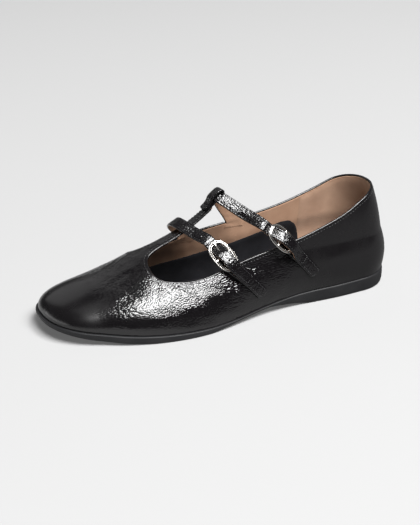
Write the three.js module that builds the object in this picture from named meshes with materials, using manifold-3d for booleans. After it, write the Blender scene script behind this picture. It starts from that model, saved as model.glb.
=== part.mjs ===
// A left mary jane shoe with a T-bar and two buckled straps, in millimetres.
// +X is the outer (lateral) side, -Y the toe, +Y the heel, +Z up.
// u is the distance along the shoe from the back of the heel to the tip of the toe.
import * as THREE from "three";
import { mergeVertices } from "three/addons/utils/BufferGeometryUtils.js";
import Module from "manifold-3d";

const wasm = await Module();
wasm.setup();

// ---------------------------------------------------------------- driving sizes
const LENGTH = 248.4; // of the upper, heel to toe
const WALL = 2.0; // upper, leather and lining together
const GAP = 0.3; // between pieces that meet
const LATERAL = 1;
const MEDIAL = -1;

// The last: swing and half width of the feather line, its height, the ridge over the
// instep, and the two powers of a section (sideways and upwards).
const LAST = [
  { u: 0, centre: 0, half: 27.6, feather: 10.4, ridge: 96, ridgeX: 0, side: 2.0, rise: 2.0 },
  { u: 25, centre: 0, half: 28.1, feather: 10.2, ridge: 97, ridgeX: -1, side: 2.0, rise: 2.0 },
  { u: 45, centre: 0.3, half: 28.6, feather: 9.8, ridge: 97, ridgeX: -2.5, side: 2.0, rise: 2.0 },
  { u: 80, centre: 1.8, half: 26.3, feather: 8.8, ridge: 94, ridgeX: -6, side: 2.0, rise: 1.9 },
  { u: 110, centre: 3.2, half: 28.2, feather: 6.4, ridge: 84, ridgeX: -8.5, side: 1.95, rise: 1.5 },
  { u: 127, centre: 3.0, half: 31.8, feather: 5.0, ridge: 71.5, ridgeX: -9, side: 1.9, rise: 1.3 },
  { u: 140, centre: 2.4, half: 34.8, feather: 4.3, ridge: 62.5, ridgeX: -9, side: 1.9, rise: 1.2 },
  { u: 152, centre: 1.2, half: 37.6, feather: 4.3, ridge: 55.8, ridgeX: -9, side: 1.9, rise: 1.2 },
  { u: 165, centre: -0.5, half: 39.6, feather: 4.6, ridge: 50.3, ridgeX: -9.5, side: 1.9, rise: 1.22 },
  { u: 185, centre: -3.8, half: 40.2, feather: 5.3, ridge: 43.0, ridgeX: -11.5, side: 2.0, rise: 1.4 },
  { u: 205, centre: -7.7, half: 37.9, feather: 6.6, ridge: 33.2, ridgeX: -12.5, side: 2.1, rise: 1.7 },
  { u: 225, centre: -11.5, half: 32.2, feather: 8.6, ridge: 27.2, ridgeX: -13.5, side: 2.2, rise: 2.0 },
  { u: 249, centre: -14.8, half: 27.0, feather: 11.7, ridge: 25.0, ridgeX: -15, side: 2.4, rise: 2.2 },
];
const TOE = { reach: 26, power: 2.45 }; // the round ends of the outline
const HEEL = { reach: 27.5, power: 2.1 };
const CROWN = { from: 32, to: 214, softness: 7 }; // where the ridge starts and stops
const BULGE = { out: 2.0, height: 30 }; // the wall's belly above the feather line

// The top edge of the upper on each side.
const TOPLINE = [
  { u: -6, lateral: 72, medial: 72 },
  { u: 10, lateral: 71.6, medial: 71.6 },
  { u: 24, lateral: 67, medial: 68.4 },
  { u: 40, lateral: 59.4, medial: 62 },
  { u: 56, lateral: 53.8, medial: 57.2 },
  { u: 76, lateral: 47.8, medial: 53.8 },
  { u: 96, lateral: 44, medial: 51.4 },
  { u: 116, lateral: 40.4, medial: 49 },
  { u: 134, lateral: 36, medial: 46.6 },
  { u: 147, lateral: 33.4, medial: 43.8 },
  { u: 160, lateral: 32.5, medial: 41.4 },
  { u: 170, lateral: 33.3, medial: 40.1 },
  { u: 176, lateral: 34.4, medial: 39.6 },
  { u: 179.6, lateral: 36.3, medial: 39.8 },
  { u: 181.2, lateral: 38.4, medial: 40.2 },
  { u: 184.4, lateral: 44, medial: 41.6 },
];
// The two edges of the T-bar, and where the scoops beside it end at the throat.
const T_BAR = { x: -8.9, end: 128.6 };
const LATERAL_SCOOP = [
  { u: 128.6, edge: -5.0 },
  { u: 160, edge: -4.3 },
  { u: 171, edge: -4.1 },
  { u: 176.5, edge: -2.4 },
  { u: 179.6, edge: 0.4 },
  { u: 181.2, edge: 4.2 },
];
const MEDIAL_SCOOP = [
  { u: 128.6, edge: -12.8 },
  { u: 163, edge: -13.5 },
  { u: 174, edge: -13.9 },
  { u: 180, edge: -15.6 },
  { u: 183, edge: -18.2 },
  { u: 184.4, edge: -22 },
];

// The outsole: height of the tread under each station; its top is the feather line.
const TREAD = [
  { u: 0, height: 1.2, lip: 0.7 },
  { u: 10, height: 0, lip: 0.8 },
  { u: 70, height: 0, lip: 1.0 },
  { u: 84, height: 2.6, lip: 1.0 },
  { u: 104, height: 5, lip: 1.1 },
  { u: 128, height: 3, lip: 1.3 },
  { u: 150, height: 0, lip: 1.5 },
  { u: 190, height: 0, lip: 1.6 },
  { u: 207, height: 1.2, lip: 1.6 },
  { u: 226, height: 3.8, lip: 1.6 },
  { u: 249, height: 8.4, lip: 1.7 },
];
const SOLE = { tuck: 0.9, bevel: 1.2 }; // the tread's edge is rounded in by this much
const INSOLE = { thickness: 2.2, wing: 1.2, inset: 0.45 };
// The insole's wing up the inside of the arch.
const WING = [
  { u: 48, height: 14 },
  { u: 51, height: 32 },
  { u: 56, height: 38.6 },
  { u: 64, height: 41 },
  { u: 80, height: 38 },
  { u: 110, height: 32.4 },
  { u: 140, height: 26.4 },
  { u: 162, height: 21 },
  { u: 178, height: 15 },
];

// ---------------------------------------------------------------- small helpers
// A smooth function of u through one column of a table (cubic between rows).
function column(table, name) {
  const last = table.length - 1;
  const slope = (i) => (table[i + 1][name] - table[i][name]) / (table[i + 1].u - table[i].u);
  const span = (i) => table[i + 1].u - table[i].u;
  const tangent = table.map((_, i) => {
    if (i === 0) return slope(0);
    if (i === last) return slope(last - 1);
    return (slope(i - 1) * span(i) + slope(i) * span(i - 1)) / (span(i) + span(i - 1));
  });
  return (u) => {
    let i = 0;
    while (i < last - 1 && u > table[i + 1].u) i++;
    const h = span(i);
    const t = (u - table[i].u) / h;
    return (
      (1 + 2 * t) * (1 - t) ** 2 * table[i][name] +
      t * (1 - t) ** 2 * h * tangent[i] +
      t * t * (3 - 2 * t) * table[i + 1][name] +
      t * t * (t - 1) * h * tangent[i + 1]
    );
  };
}

// Straight lines between the rows of a table.
function linear(table, name) {
  return (u) => {
    const next = table.findIndex((row) => row.u > u);
    const i = next < 0 ? table.length - 2 : Math.max(next - 1, 0);
    const t = THREE.MathUtils.clamp((u - table[i].u) / (table[i + 1].u - table[i].u), 0, 1);
    return THREE.MathUtils.lerp(table[i][name], table[i + 1][name], t);
  };
}

const softMax = (a, b, k) => k * Math.log(Math.exp(a / k) + Math.exp(b / k));
const softMin = (a, b, k) => -softMax(-a, -b, k);
const at = (x, u, z) => new THREE.Vector3(x, LENGTH / 2 - u, z);

// A closed solid from rings of points: each ring joins the next, and the two end rings
// are closed by their centre, or by strips across them when they are long and thin.
function loft(rings, { strips = false } = {}) {
  const count = rings[0].length;
  const positions = rings.flat().flatMap((p) => [p.x, p.y, p.z]);
  const faces = [];
  for (let r = 0; r + 1 < rings.length; r++)
    for (let i = 0; i < count; i++) {
      const a = r * count + i;
      const b = r * count + ((i + 1) % count);
      faces.push(a, b, b + count, a, b + count, a + count);
    }
  const close = (start, flip) => {
    const corner = (i) => start + (i % count);
    const add = (a, b, c) => faces.push(...(flip ? [a, c, b] : [a, b, c]));
    if (!strips) {
      for (let i = 1; i + 1 < count; i++) add(corner(0), corner(i + 1), corner(i));
      return;
    }
    for (let i = 0; i < count / 2; i++) {
      const a = corner(i);
      const b = corner(i + 1);
      const c = corner(count - i - 1);
      const d = corner(count - i);
      if (b !== c) add(a, c, b);
      if (a !== d && i) add(a, d, c);
    }
  };
  close(0, false);
  close((rings.length - 1) * count, true);
  const geometry = new THREE.BufferGeometry();
  geometry.setAttribute("position", new THREE.Float32BufferAttribute(positions, 3));
  geometry.setIndex(faces);
  return solid(geometry);
}

// A closed geometry as a manifold solid, turned the right way out.
function solid(geometry) {
  const bare = geometry.clone();
  for (const name of Object.keys(bare.attributes)) if (name !== "position") bare.deleteAttribute(name);
  const merged = mergeVertices(bare, 1e-4);
  const make = (triVerts) =>
    new wasm.Manifold(
      new wasm.Mesh({ numProp: 3, vertProperties: merged.attributes.position.array, triVerts }),
    );
  const index = new Uint32Array(merged.index.array);
  const made = make(index);
  if (made.volume() > 0) return made;
  for (let i = 0; i < index.length; i += 3) [index[i], index[i + 1]] = [index[i + 1], index[i]];
  return make(index);
}

// ---------------------------------------------------------------- the last
const last = Object.fromEntries(
  Object.keys(LAST[0]).map((name) => [name, column(LAST, name)]),
);
const tread = linear(TREAD, "height");
const lip = linear(TREAD, "lip");

// The outline's half width falls to nothing along a round end.
function roundEnds(u) {
  const toward = (distance, { reach, power }) =>
    distance <= 0 ? 1 : (1 - Math.min(distance / reach, 1) ** power) ** (1 / power);
  return toward(u - (LENGTH - TOE.reach), TOE) * toward(HEEL.reach - u, HEEL);
}

// A station goes once round the outline: 0 is the heel, half a turn the toe.
function station(turn) {
  const angle = turn * 2 * Math.PI;
  return {
    u: (LENGTH * (1 - Math.cos(angle))) / 2,
    side: turn <= 0.5 ? LATERAL : MEDIAL,
  };
}

// A point of the last: climb 0 is the feather line, 1 the ridge.
function lastPoint(turn, climb) {
  const { u, side } = station(((turn % 1) + 1) % 1);
  const footX = last.centre(u) + side * last.half(u) * roundEnds(u);
  const crownU = softMin(softMax(u, CROWN.from, CROWN.softness), CROWN.to, CROWN.softness);
  const crownX = last.ridgeX(crownU);
  const angle = (climb * Math.PI) / 2;
  const out = Math.max(Math.cos(angle), 0) ** (2 / last.side(crownU));
  const up = Math.sin(angle) ** (2 / last.rise(crownU));
  const foot = last.feather(u);
  const alongU = crownU + (u - crownU) * out;
  const z = foot + (last.ridge(THREE.MathUtils.clamp(alongU, 0, LENGTH)) - foot) * up;
  const away = Math.hypot(footX - crownX, u - crownU) || 1;
  const belly = BULGE.out * Math.sin(Math.PI * THREE.MathUtils.clamp((z - foot) / BULGE.height, 0, 1));
  return at(
    crownX + (footX - crownX) * out + ((footX - crownX) / away) * belly,
    alongU + ((u - crownU) / away) * belly,
    z,
  );
}

// The last's outward direction at the same place.
function lastNormal(turn, climb) {
  const step = 0.004;
  const low = Math.max(climb - step, 0);
  const high = Math.min(climb + step, 0.999);
  const along = lastPoint(turn + step, climb).sub(lastPoint(turn - step, climb));
  const upward = lastPoint(turn, high).sub(lastPoint(turn, low));
  return upward.cross(along).normalize();
}

// The last made smaller by inset, as a closed solid; drop carries its foot downwards.
function lastSolid(inset, drop = 0, stations = 88, levels = 15) {
  const rings = [];
  const ring = (climb, lower) =>
    Array.from({ length: stations }, (_, i) => {
      const turn = i / stations;
      const p = lastPoint(turn, climb).addScaledVector(lastNormal(turn, climb), -inset);
      p.z -= lower;
      return p;
    });
  if (drop) rings.push(ring(0, drop));
  for (let k = 0; k <= levels; k++) rings.push(ring(0.985 * (k / levels), 0));
  return loft(rings, { strips: true });
}

// The place on the last's side wall at a given u and height, and its outward direction.
function onWall(side, u, z) {
  let turn = Math.acos(1 - (2 * u) / LENGTH) / (2 * Math.PI);
  if (side === MEDIAL) turn = 1 - turn;
  let low = 0;
  let high = 1;
  for (let k = 0; k < 40; k++) {
    const middle = (low + high) / 2;
    if (lastPoint(turn, middle).z < z) low = middle;
    else high = middle;
  }
  return { point: lastPoint(turn, low), normal: lastNormal(turn, low) };
}

// ---------------------------------------------------------------- upper
// What is cut away above the top edge on one side, up to the T-bar's edge.
function openingCutter(side) {
  const top = column(TOPLINE, side === LATERAL ? "lateral" : "medial");
  const scoop = side === LATERAL ? LATERAL_SCOOP : MEDIAL_SCOOP;
  const edge = column(scoop, "edge");
  const front = scoop[scoop.length - 1].u;
  const far = { x: side * 90, z: 140 };
  const section = (x, u) => [
    at(x, u, top(u)),
    at(far.x, u, top(u)),
    at(far.x, u, far.z),
    at(x, u, far.z),
  ];
  const rings = [];
  const collarSteps = 26;
  for (let k = 0; k <= collarSteps; k++)
    rings.push(section(T_BAR.x - side * 0.5, -6 + ((T_BAR.end + 6) * k) / collarSteps));
  const scoopSteps = 30;
  for (let k = 0; k <= scoopSteps; k++) {
    const u = T_BAR.end + 0.01 + (front - T_BAR.end - 0.01) * Math.sin((k * Math.PI) / 2 / scoopSteps);
    rings.push(section(edge(u), u));
  }
  return loft(rings);
}

const upperSolid = lastSolid(0)
  .subtract(lastSolid(WALL, 8))
  .subtract(openingCutter(LATERAL))
  .subtract(openingCutter(MEDIAL));

// ---------------------------------------------------------------- sole and insole
// One ring of the outsole, tucked in from its lip, at a height given as a function of u.
function outlineRing(tuck, height, count = 80) {
  return Array.from({ length: count }, (_, i) => {
    const turn = i / count;
    const flat = lastNormal(turn, 0).setZ(0).normalize();
    const { u } = station(turn);
    const p = lastPoint(turn, 0).addScaledVector(flat, lip(u) - tuck);
    p.z = height(u);
    return p;
  });
}

const outsoleSolid = loft(
  [
    outlineRing(SOLE.tuck, tread),
    outlineRing(0, (u) => tread(u) + SOLE.bevel),
    outlineRing(0, (u) => last.feather(u) - GAP),
  ],
  { strips: true },
);

// A slab between two heights over the whole plan.
function slab(bottom, top, from = -20, to = LENGTH + 20, steps = 32) {
  const rings = [];
  for (let k = 0; k <= steps; k++) {
    const u = from + ((to - from) * k) / steps;
    rings.push([at(-90, u, bottom(u)), at(90, u, bottom(u)), at(90, u, top(u)), at(-90, u, top(u))]);
  }
  return loft(rings);
}

function insole() {
  const clamped = (u) => THREE.MathUtils.clamp(u, 0, LENGTH);
  const floor = (u) => last.feather(clamped(u));
  const room = lastSolid(WALL + INSOLE.inset, 8, 76, 11);
  const sock = room.intersect(slab(floor, (u) => floor(u) + INSOLE.thickness));
  const height = column(WING, "height");
  const first = WING[0].u;
  const end = WING[WING.length - 1].u;
  const rings = [];
  for (let k = 0; k <= 24; k++) {
    const u = first + ((end - first) * (1 - Math.cos((k * Math.PI) / 24))) / 2;
    rings.push([at(-90, u, floor(u)), at(-6, u, floor(u)), at(-6, u, height(u)), at(-90, u, height(u))]);
  }
  const wing = room
    .subtract(lastSolid(WALL + INSOLE.inset + INSOLE.wing, 8, 76, 11))
    .intersect(loft(rings));
  return sock.add(wing);
}

// ---------------------------------------------------------------- straps
const STRAP = { width: 8.6, thickness: 1.8, corner: 0.5 };
const TAB = { width: 8.6, thickness: 1.3 };
const BUCKLE = { length: 22.6, width: 15, wire: 2.1, bar: 1.8 };
const PRONG = { wire: 1.3, past: 1.2 };
const HALF_OPEN = (BUCKLE.length - BUCKLE.wire) / 2; // centre to the middle of an end bar

// A frame that lies along a strap: d runs down it, n faces out, w crosses it.
function frameAt(point, along, facing) {
  const d = along.clone().normalize();
  const n = facing.clone().addScaledVector(d, -facing.dot(d)).normalize();
  const w = n.clone().cross(d);
  const place = (s, across, height) =>
    point.clone().addScaledVector(d, s).addScaledVector(w, across).addScaledVector(n, height);
  return { point, d, n, w, place };
}

// A flat strap through stations { p, n, width }: a chamfered section at each step.
function ribbon(stations, thickness, grow = 0, steps = 5) {
  const path = new THREE.CatmullRomCurve3(stations.map((s) => s.p), false, "centripetal");
  const total = (stations.length - 1) * steps;
  const rings = [];
  for (let k = 0; k <= total; k++) {
    const t = k / total;
    const i = Math.min(Math.floor(k / steps), stations.length - 2);
    const f = k / steps - i;
    const { d, n, w, point } = frameAt(
      path.getPoint(t),
      path.getTangent(t),
      stations[i].n.clone().lerp(stations[i + 1].n, f),
    );
    const half = THREE.MathUtils.lerp(stations[i].width, stations[i + 1].width, f) / 2 + grow;
    const up = thickness / 2 + grow;
    const c = STRAP.corner;
    rings.push(
      [
        [half - c, up],
        [-half + c, up],
        [-half, up - c],
        [-half, -up + c],
        [-half + c, -up],
        [half - c, -up],
        [half, -up + c],
        [half, up - c],
      ].map(([across, height]) =>
        point.clone().addScaledVector(w, across).addScaledVector(n, height),
      ),
    );
  }
  return loft(rings);
}

// Each strap: where its root leaves the inner top edge, its crest over the T-bar, its
// buckle on the outer side, and where its tab is sewn to the outer quarter.
const STRAPS = {
  front: {
    root: { u: 141.5, flare: 13 },
    shoulder: { x: -21.5, u: 150, z: 54 },
    crest: { x: -12.5, u: 152.6, z: 60.2, tip: 0.5 },
    span: { x: 3.5, u: 144.8, z: 55.8 },
    buckle: { u: 133.6, z: 44.2, out: 2.4, facing: { x: 0.8, y: -0.1, z: 0.6 } },
    foot: { u: 129, z: 36.8, lift: 0.2 },
    tip: { u: 118, z: 26.5 },
    sewn: { u: 109, z: 16.2 },
  },
  rear: {
    root: { u: 105, flare: 14 },
    shoulder: { x: -16.5, u: 117.5, z: 67.5 },
    crest: { x: -9.6, u: 124.2, z: 75.5, tip: 0.62 },
    span: { x: 7, u: 110.5, z: 65.6 },
    buckle: { u: 92.4, z: 50.6, out: 3.6, facing: { x: 0.78, y: 0.08, z: 0.6 } },
    foot: { u: 86, z: 43.4, lift: 1.3 },
    tip: { u: 76, z: 32.5 },
    sewn: { u: 67, z: 22 },
  },
};

function buildStrap(name) {
  const s = STRAPS[name];
  const onTab = GAP + TAB.thickness + GAP; // the strap's underside above the quarter
  const seat = onWall(LATERAL, s.buckle.u, s.buckle.z);
  const foot = onWall(LATERAL, s.foot.u, s.foot.z);
  const overWall = (place, height) => place.point.clone().addScaledVector(place.normal, height);
  const quarter = (from, to, f, height) => {
    const place = onWall(
      LATERAL,
      THREE.MathUtils.lerp(from.u, to.u, f),
      THREE.MathUtils.lerp(from.z, to.z, f),
    );
    return { p: overWall(place, height), n: place.normal, width: STRAP.width };
  };
  const centre = overWall(seat, s.buckle.out);
  const run = overWall(foot, onTab + BUCKLE.wire / 2 + s.foot.lift).sub(centre);
  const { x, y, z } = s.buckle.facing;
  const buckle = frameAt(centre, run, new THREE.Vector3(x, y, z));

  // The strap goes under the upper end bar, over the centre bar and over the lower end.
  const slope = 0.6; // more room where it climbs past a bar
  const under = BUCKLE.wire / 2 + GAP + STRAP.thickness / 2 + slope;
  const overBar = BUCKLE.bar / 2 + GAP + STRAP.thickness / 2 + slope;
  const top = column(TOPLINE, "medial");
  const root = onWall(MEDIAL, s.root.u, top(s.root.u) - 2);
  const crestNormal = new THREE.Vector3(-0.12, -s.crest.tip, 0.86).normalize();
  const between = (a, b, f) => a.clone().lerp(b, f).normalize();
  const width = STRAP.width;
  const stations = [
    { p: overWall(root, -WALL / 2), n: root.normal, width: s.root.flare },
    { p: at(s.shoulder.x, s.shoulder.u, s.shoulder.z), n: between(root.normal, crestNormal, 0.45), width },
    { p: at(s.crest.x, s.crest.u, s.crest.z), n: crestNormal, width },
    { p: at(s.span.x, s.span.u, s.span.z), n: between(crestNormal, buckle.n, 0.5), width },
    { p: buckle.place(-HALF_OPEN - 4, 0, -under - 0.4), n: buckle.n, width },
    { p: buckle.place(-HALF_OPEN, 0, -under), n: buckle.n, width },
    { p: buckle.place(0, 0, overBar), n: buckle.n, width },
    { p: buckle.place(HALF_OPEN, 0, under), n: buckle.n, width },
    quarter(s.foot, s.tip, 0.55, onTab + STRAP.thickness / 2 + 0.5),
    quarter(s.foot, s.tip, 1, onTab + STRAP.thickness / 2 + 0.1),
  ];
  const slot = ribbon(
    [
      { p: buckle.place(-7.8, 0, -1.5), n: buckle.n, width: PRONG.wire + 2 * GAP },
      { p: buckle.place(-1.2, 0, 1.6), n: buckle.n, width: PRONG.wire + 2 * GAP },
    ],
    9,
  );
  // The root stops a gap above the inner top edge.
  const rootCut = [];
  for (let u = 80; u <= 180; u += 4)
    rootCut.push([at(-60, u, 0), at(-13, u, 0), at(-13, u, top(u) + GAP), at(-60, u, top(u) + GAP)]);
  const strap = ribbon(stations, STRAP.thickness).subtract(slot).subtract(loft(rootCut));

  // The tab starts under the centre bar and is sewn down at its end.
  const tabUnder = BUCKLE.wire / 2 + GAP + TAB.thickness / 2;
  const onQuarter = GAP + TAB.thickness / 2 + 0.1;
  const tab = ribbon(
    [
      { p: buckle.place(-1, 0, -tabUnder), n: buckle.n, width: TAB.width },
      { p: buckle.place(HALF_OPEN, 0, -tabUnder), n: buckle.n, width: TAB.width },
      ...[0.4, 0.7, 1].map((f) => quarter(s.foot, s.tip, f, onQuarter)),
      ...[0.5, 1].map((f) => quarter(s.tip, s.sewn, f, onQuarter)),
    ],
    TAB.thickness,
    0,
    3,
  );
  return { stations, buckle, strap, tab };
}

// A round rod along a list of points.
function rod(points, diameter, segments, sides) {
  const circle = new THREE.Shape().absarc(0, 0, diameter / 2, 0, 2 * Math.PI);
  const path = new THREE.CatmullRomCurve3(points, false, "centripetal");
  return solid(
    new THREE.ExtrudeGeometry(circle, {
      steps: segments,
      curveSegments: sides,
      extrudePath: path,
      bevelEnabled: false,
    }),
  );
}

// The oval frame as rings of a round section, with the centre bar across it.
function buildBuckle({ place }) {
  const a = (BUCKLE.length - BUCKLE.wire) / 2;
  const b = (BUCKLE.width - BUCKLE.wire) / 2;
  const power = 2.7;
  const r = BUCKLE.wire / 2;
  const steps = 34;
  const sides = 8;
  const rim = (angle) => {
    const c = Math.cos(angle);
    const s = Math.sin(angle);
    return [Math.sign(c) * a * Math.abs(c) ** (2 / power), Math.sign(s) * b * Math.abs(s) ** (2 / power)];
  };
  const positions = [];
  const faces = [];
  for (let i = 0; i < steps; i++) {
    const angle = ((i + 0.5) / steps) * 2 * Math.PI;
    const [x, y] = rim(angle);
    const [x1, y1] = rim(angle + 0.02);
    const out = new THREE.Vector2(y1 - y, x - x1).normalize();
    for (let j = 0; j < sides; j++) {
      const turn = ((j + 0.5) / sides) * 2 * Math.PI;
      const reach = r * Math.cos(turn);
      const p = place(x + out.x * reach, y + out.y * reach, r * Math.sin(turn));
      positions.push(p.x, p.y, p.z);
      const [k, l] = [(i + 1) % steps, (j + 1) % sides];
      faces.push(i * sides + j, k * sides + j, k * sides + l, i * sides + j, k * sides + l, i * sides + l);
    }
  }
  const geometry = new THREE.BufferGeometry();
  geometry.setAttribute("position", new THREE.Float32BufferAttribute(positions, 3));
  geometry.setIndex(faces);
  return solid(geometry).add(rod([place(0, -b, 0), place(0, b, 0)], BUCKLE.bar, 1, 4));
}

// The prong leaves the centre bar, comes up through the strap and rests on the end bar.
function buildProng({ place }) {
  const lift = BUCKLE.wire / 2 + GAP + PRONG.wire / 2;
  const start = BUCKLE.bar / 2 + GAP + PRONG.wire / 2;
  return rod(
    [
      place(-start, 0, 0),
      place(-HALF_OPEN * 0.45, 0, lift * 0.45),
      place(-HALF_OPEN * 0.8, 0, lift * 0.95),
      place(-HALF_OPEN - PRONG.past, 0, lift),
    ],
    PRONG.wire,
    6,
    4,
  );
}

const front = buildStrap("front");
const rear = buildStrap("rear");

// The T-bar's end folds round the rear strap's crest and lies on the bar in front of it.
const LOOP = { wall: 1.4, width: 8.4, shift: 0.8, tail: 12 };
function buildLoop() {
  const [, shoulder, crest, span] = rear.stations;
  const path = new THREE.CatmullRomCurve3([shoulder.p, crest.p, span.p], false, "centripetal");
  // Places at a distance from the crest, outer side positive: the crest is at 0.5.
  const beside = (distance) =>
    0.5 + (distance / 2) / crest.p.distanceTo(distance < 0 ? shoulder.p : span.p);
  const half = LOOP.width / 2;
  const turns = [-half, -half / 2, 0, half / 2, half].map((d) => beside(d + LOOP.shift));
  const band = ribbon(
    turns.map((t) => ({ p: path.getPoint(t), n: crest.n, width: STRAP.width })),
    STRAP.thickness,
    GAP + LOOP.wall,
    2,
  );
  const strapRoom = ribbon(rear.stations.slice(0, 5), STRAP.thickness, GAP);
  // d runs down the T-bar towards the toe.
  const { place, n } = frameAt(crest.p, new THREE.Vector3(0, -1, -0.7), crest.n);
  const topLayer = STRAP.thickness / 2 + GAP + LOOP.wall / 2;
  const tail = ribbon(
    [
      { p: place(2, 0, topLayer), n, width: LOOP.width },
      { p: place(6.2, 0, topLayer - 0.5), n, width: LOOP.width },
      { p: place(9, 0, 0.9), n, width: LOOP.width },
      { p: place(LOOP.tail, 0, 0.6), n, width: LOOP.width * 0.8 },
    ],
    LOOP.wall,
    0,
    3,
  );
  return band.add(tail).subtract(strapRoom);
}

// ---------------------------------------------------------------- scene graph
const FINISH = {
  patent: { color: 0x0c0c0e, roughness: 0.18, metalness: 0 },
  sock: { color: 0x1b1b1d, roughness: 0.6, metalness: 0 },
  rubber: { color: 0x171719, roughness: 0.7, metalness: 0 },
  silver: { color: 0xc9c6c0, roughness: 0.15, metalness: 1 },
};

function meshOf(name, made, finish) {
  const { vertProperties, numProp, numVert, triVerts } = made.getMesh();
  const positions = new Float32Array(numVert * 3);
  for (let i = 0; i < numVert; i++) positions.set(vertProperties.subarray(i * numProp, i * numProp + 3), i * 3);
  const geometry = new THREE.BufferGeometry();
  geometry.setAttribute("position", new THREE.BufferAttribute(positions, 3));
  geometry.setIndex(new THREE.BufferAttribute(triVerts, 1));
  geometry.computeVertexNormals();
  const mesh = new THREE.Mesh(geometry, new THREE.MeshStandardMaterial(FINISH[finish]));
  mesh.name = name;
  return mesh;
}

const shoe = new THREE.Group();
shoe.name = "mary_jane_shoe";
shoe.add(
  meshOf("outsole", outsoleSolid, "rubber"),
  meshOf("insole", insole(), "sock"),
  meshOf("upper", upperSolid, "patent"),
  meshOf("t_bar_loop", buildLoop(), "patent"),
);
for (const [name, made] of Object.entries({ front, rear })) {
  shoe.add(
    meshOf(name + "_strap", made.strap, "patent"),
    meshOf(name + "_tab", made.tab, "patent"),
    meshOf(name + "_buckle", buildBuckle(made.buckle), "silver"),
    meshOf(name + "_prong", buildProng(made.buckle), "silver"),
  );
}

// Stand the shoe at the middle of its own box.
const box = new THREE.Box3().setFromObject(shoe);
shoe.position.set(-(box.min.x + box.max.x) / 2, -(box.min.y + box.max.y) / 2, -box.min.z);

export default shoe;
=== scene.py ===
"""Looks of a left mary jane shoe with a T-bar and two buckled straps.

Every piece is a surface worked out on a grid from the shoe's own sizes. Shapes are
made in millimetres in the last's axes: x to the outer side, y to the heel, z up, with
the middle of the upper's length at y = 0. u is the distance from the back of the heel.
"""

import logging
import math
from dataclasses import dataclass, field
from enum import Enum
from typing import Callable

import bpy
import numpy as np
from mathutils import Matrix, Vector


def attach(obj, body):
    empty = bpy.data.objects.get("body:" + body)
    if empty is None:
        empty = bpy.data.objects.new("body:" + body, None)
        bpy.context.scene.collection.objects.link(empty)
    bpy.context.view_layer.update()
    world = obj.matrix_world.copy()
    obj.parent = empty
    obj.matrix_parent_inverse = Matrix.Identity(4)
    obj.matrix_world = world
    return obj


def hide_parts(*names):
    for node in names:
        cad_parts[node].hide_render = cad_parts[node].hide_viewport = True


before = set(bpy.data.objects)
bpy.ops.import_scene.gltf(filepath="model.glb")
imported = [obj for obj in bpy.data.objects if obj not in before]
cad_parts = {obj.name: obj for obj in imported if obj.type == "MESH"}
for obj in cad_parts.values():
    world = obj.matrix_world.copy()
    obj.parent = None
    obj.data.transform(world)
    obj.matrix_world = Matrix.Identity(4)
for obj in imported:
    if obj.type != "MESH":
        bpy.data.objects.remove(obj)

LOG = logging.getLogger("shoe")
Array = np.ndarray
Strip = tuple[Array, Array, Array]  # points, outward directions and widths
Triple = tuple[float, float, float]  # a colour or a place
Span = tuple[float, float]
Socket = bpy.types.NodeSocket

LENGTH = 248.4  # of the upper, heel to toe
SHIFT = np.array([3.2521, 0.1362, 0.0])  # from the last's axes to the part's frame
WALL = 2.0  # leather and lining together
INNER_FACE = WALL - 0.1  # how deep the lining's inner face lies
GAP = 0.3  # between neighbouring pieces
BAR_X = -9.0  # x of the T-bar's middle
GIRTH_Z = 46.0  # height of the point that girth is measured round
HALVINGS = 34  # of the span in which a height is looked for
SHARP = math.radians(52)  # edges that turn more than this look sharp


class Side(Enum):
    """The two sides of the shoe, with the sign of x on each."""

    LATERAL = 1
    MEDIAL = -1


class Way(Enum):
    """Which way the creases of a patent piece run."""

    SURFACE = "surface"
    ALONG_UV = "along_uv"


# u where the T-bar's edges run into the top edges
THROAT = {Side.LATERAL: 181.2, Side.MEDIAL: 184.4}


# ------------------------------------------------------------------ small maths
def table(*rows: tuple[float, ...]) -> Array:
    """A dataclass field that holds a table of numbers."""
    return field(default_factory=lambda: np.array(rows, dtype=float))


def unit(v: Array) -> Array:
    """Vectors along the last axis brought to length one."""
    return v / np.maximum(np.linalg.norm(v, axis=-1, keepdims=True), 1e-9)


def square(facing: Array, d: Array) -> Array:
    """The directions square to d that lie nearest to facing."""
    return unit(facing - d * (facing * d).sum(-1, keepdims=True))


def soft_max(a: Array, b: Array | float, k: float) -> Array:
    """The larger of a and b, blended over about k: k log(exp(a/k) + exp(b/k))."""
    return k * np.logaddexp(a / k, b / k)


def soft_min(a: Array, b: Array | float, k: float) -> Array:
    """The smaller of a and b, blended over about k."""
    return -soft_max(-a, -np.asarray(b), k)


def ramp(value: Array, low: float, high: float) -> Array:
    """0 below low, 1 above high, 3t^2 - 2t^3 between."""
    t = np.clip((value - low) / (high - low), 0, 1)
    return t * t * (3 - 2 * t)


def hump(value: Array, centre: float, width: float) -> Array:
    """A soft bump of height 1: exp(-((value - centre) / width)^2)."""
    return np.exp(-(((value - centre) / width) ** 2))


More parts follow.
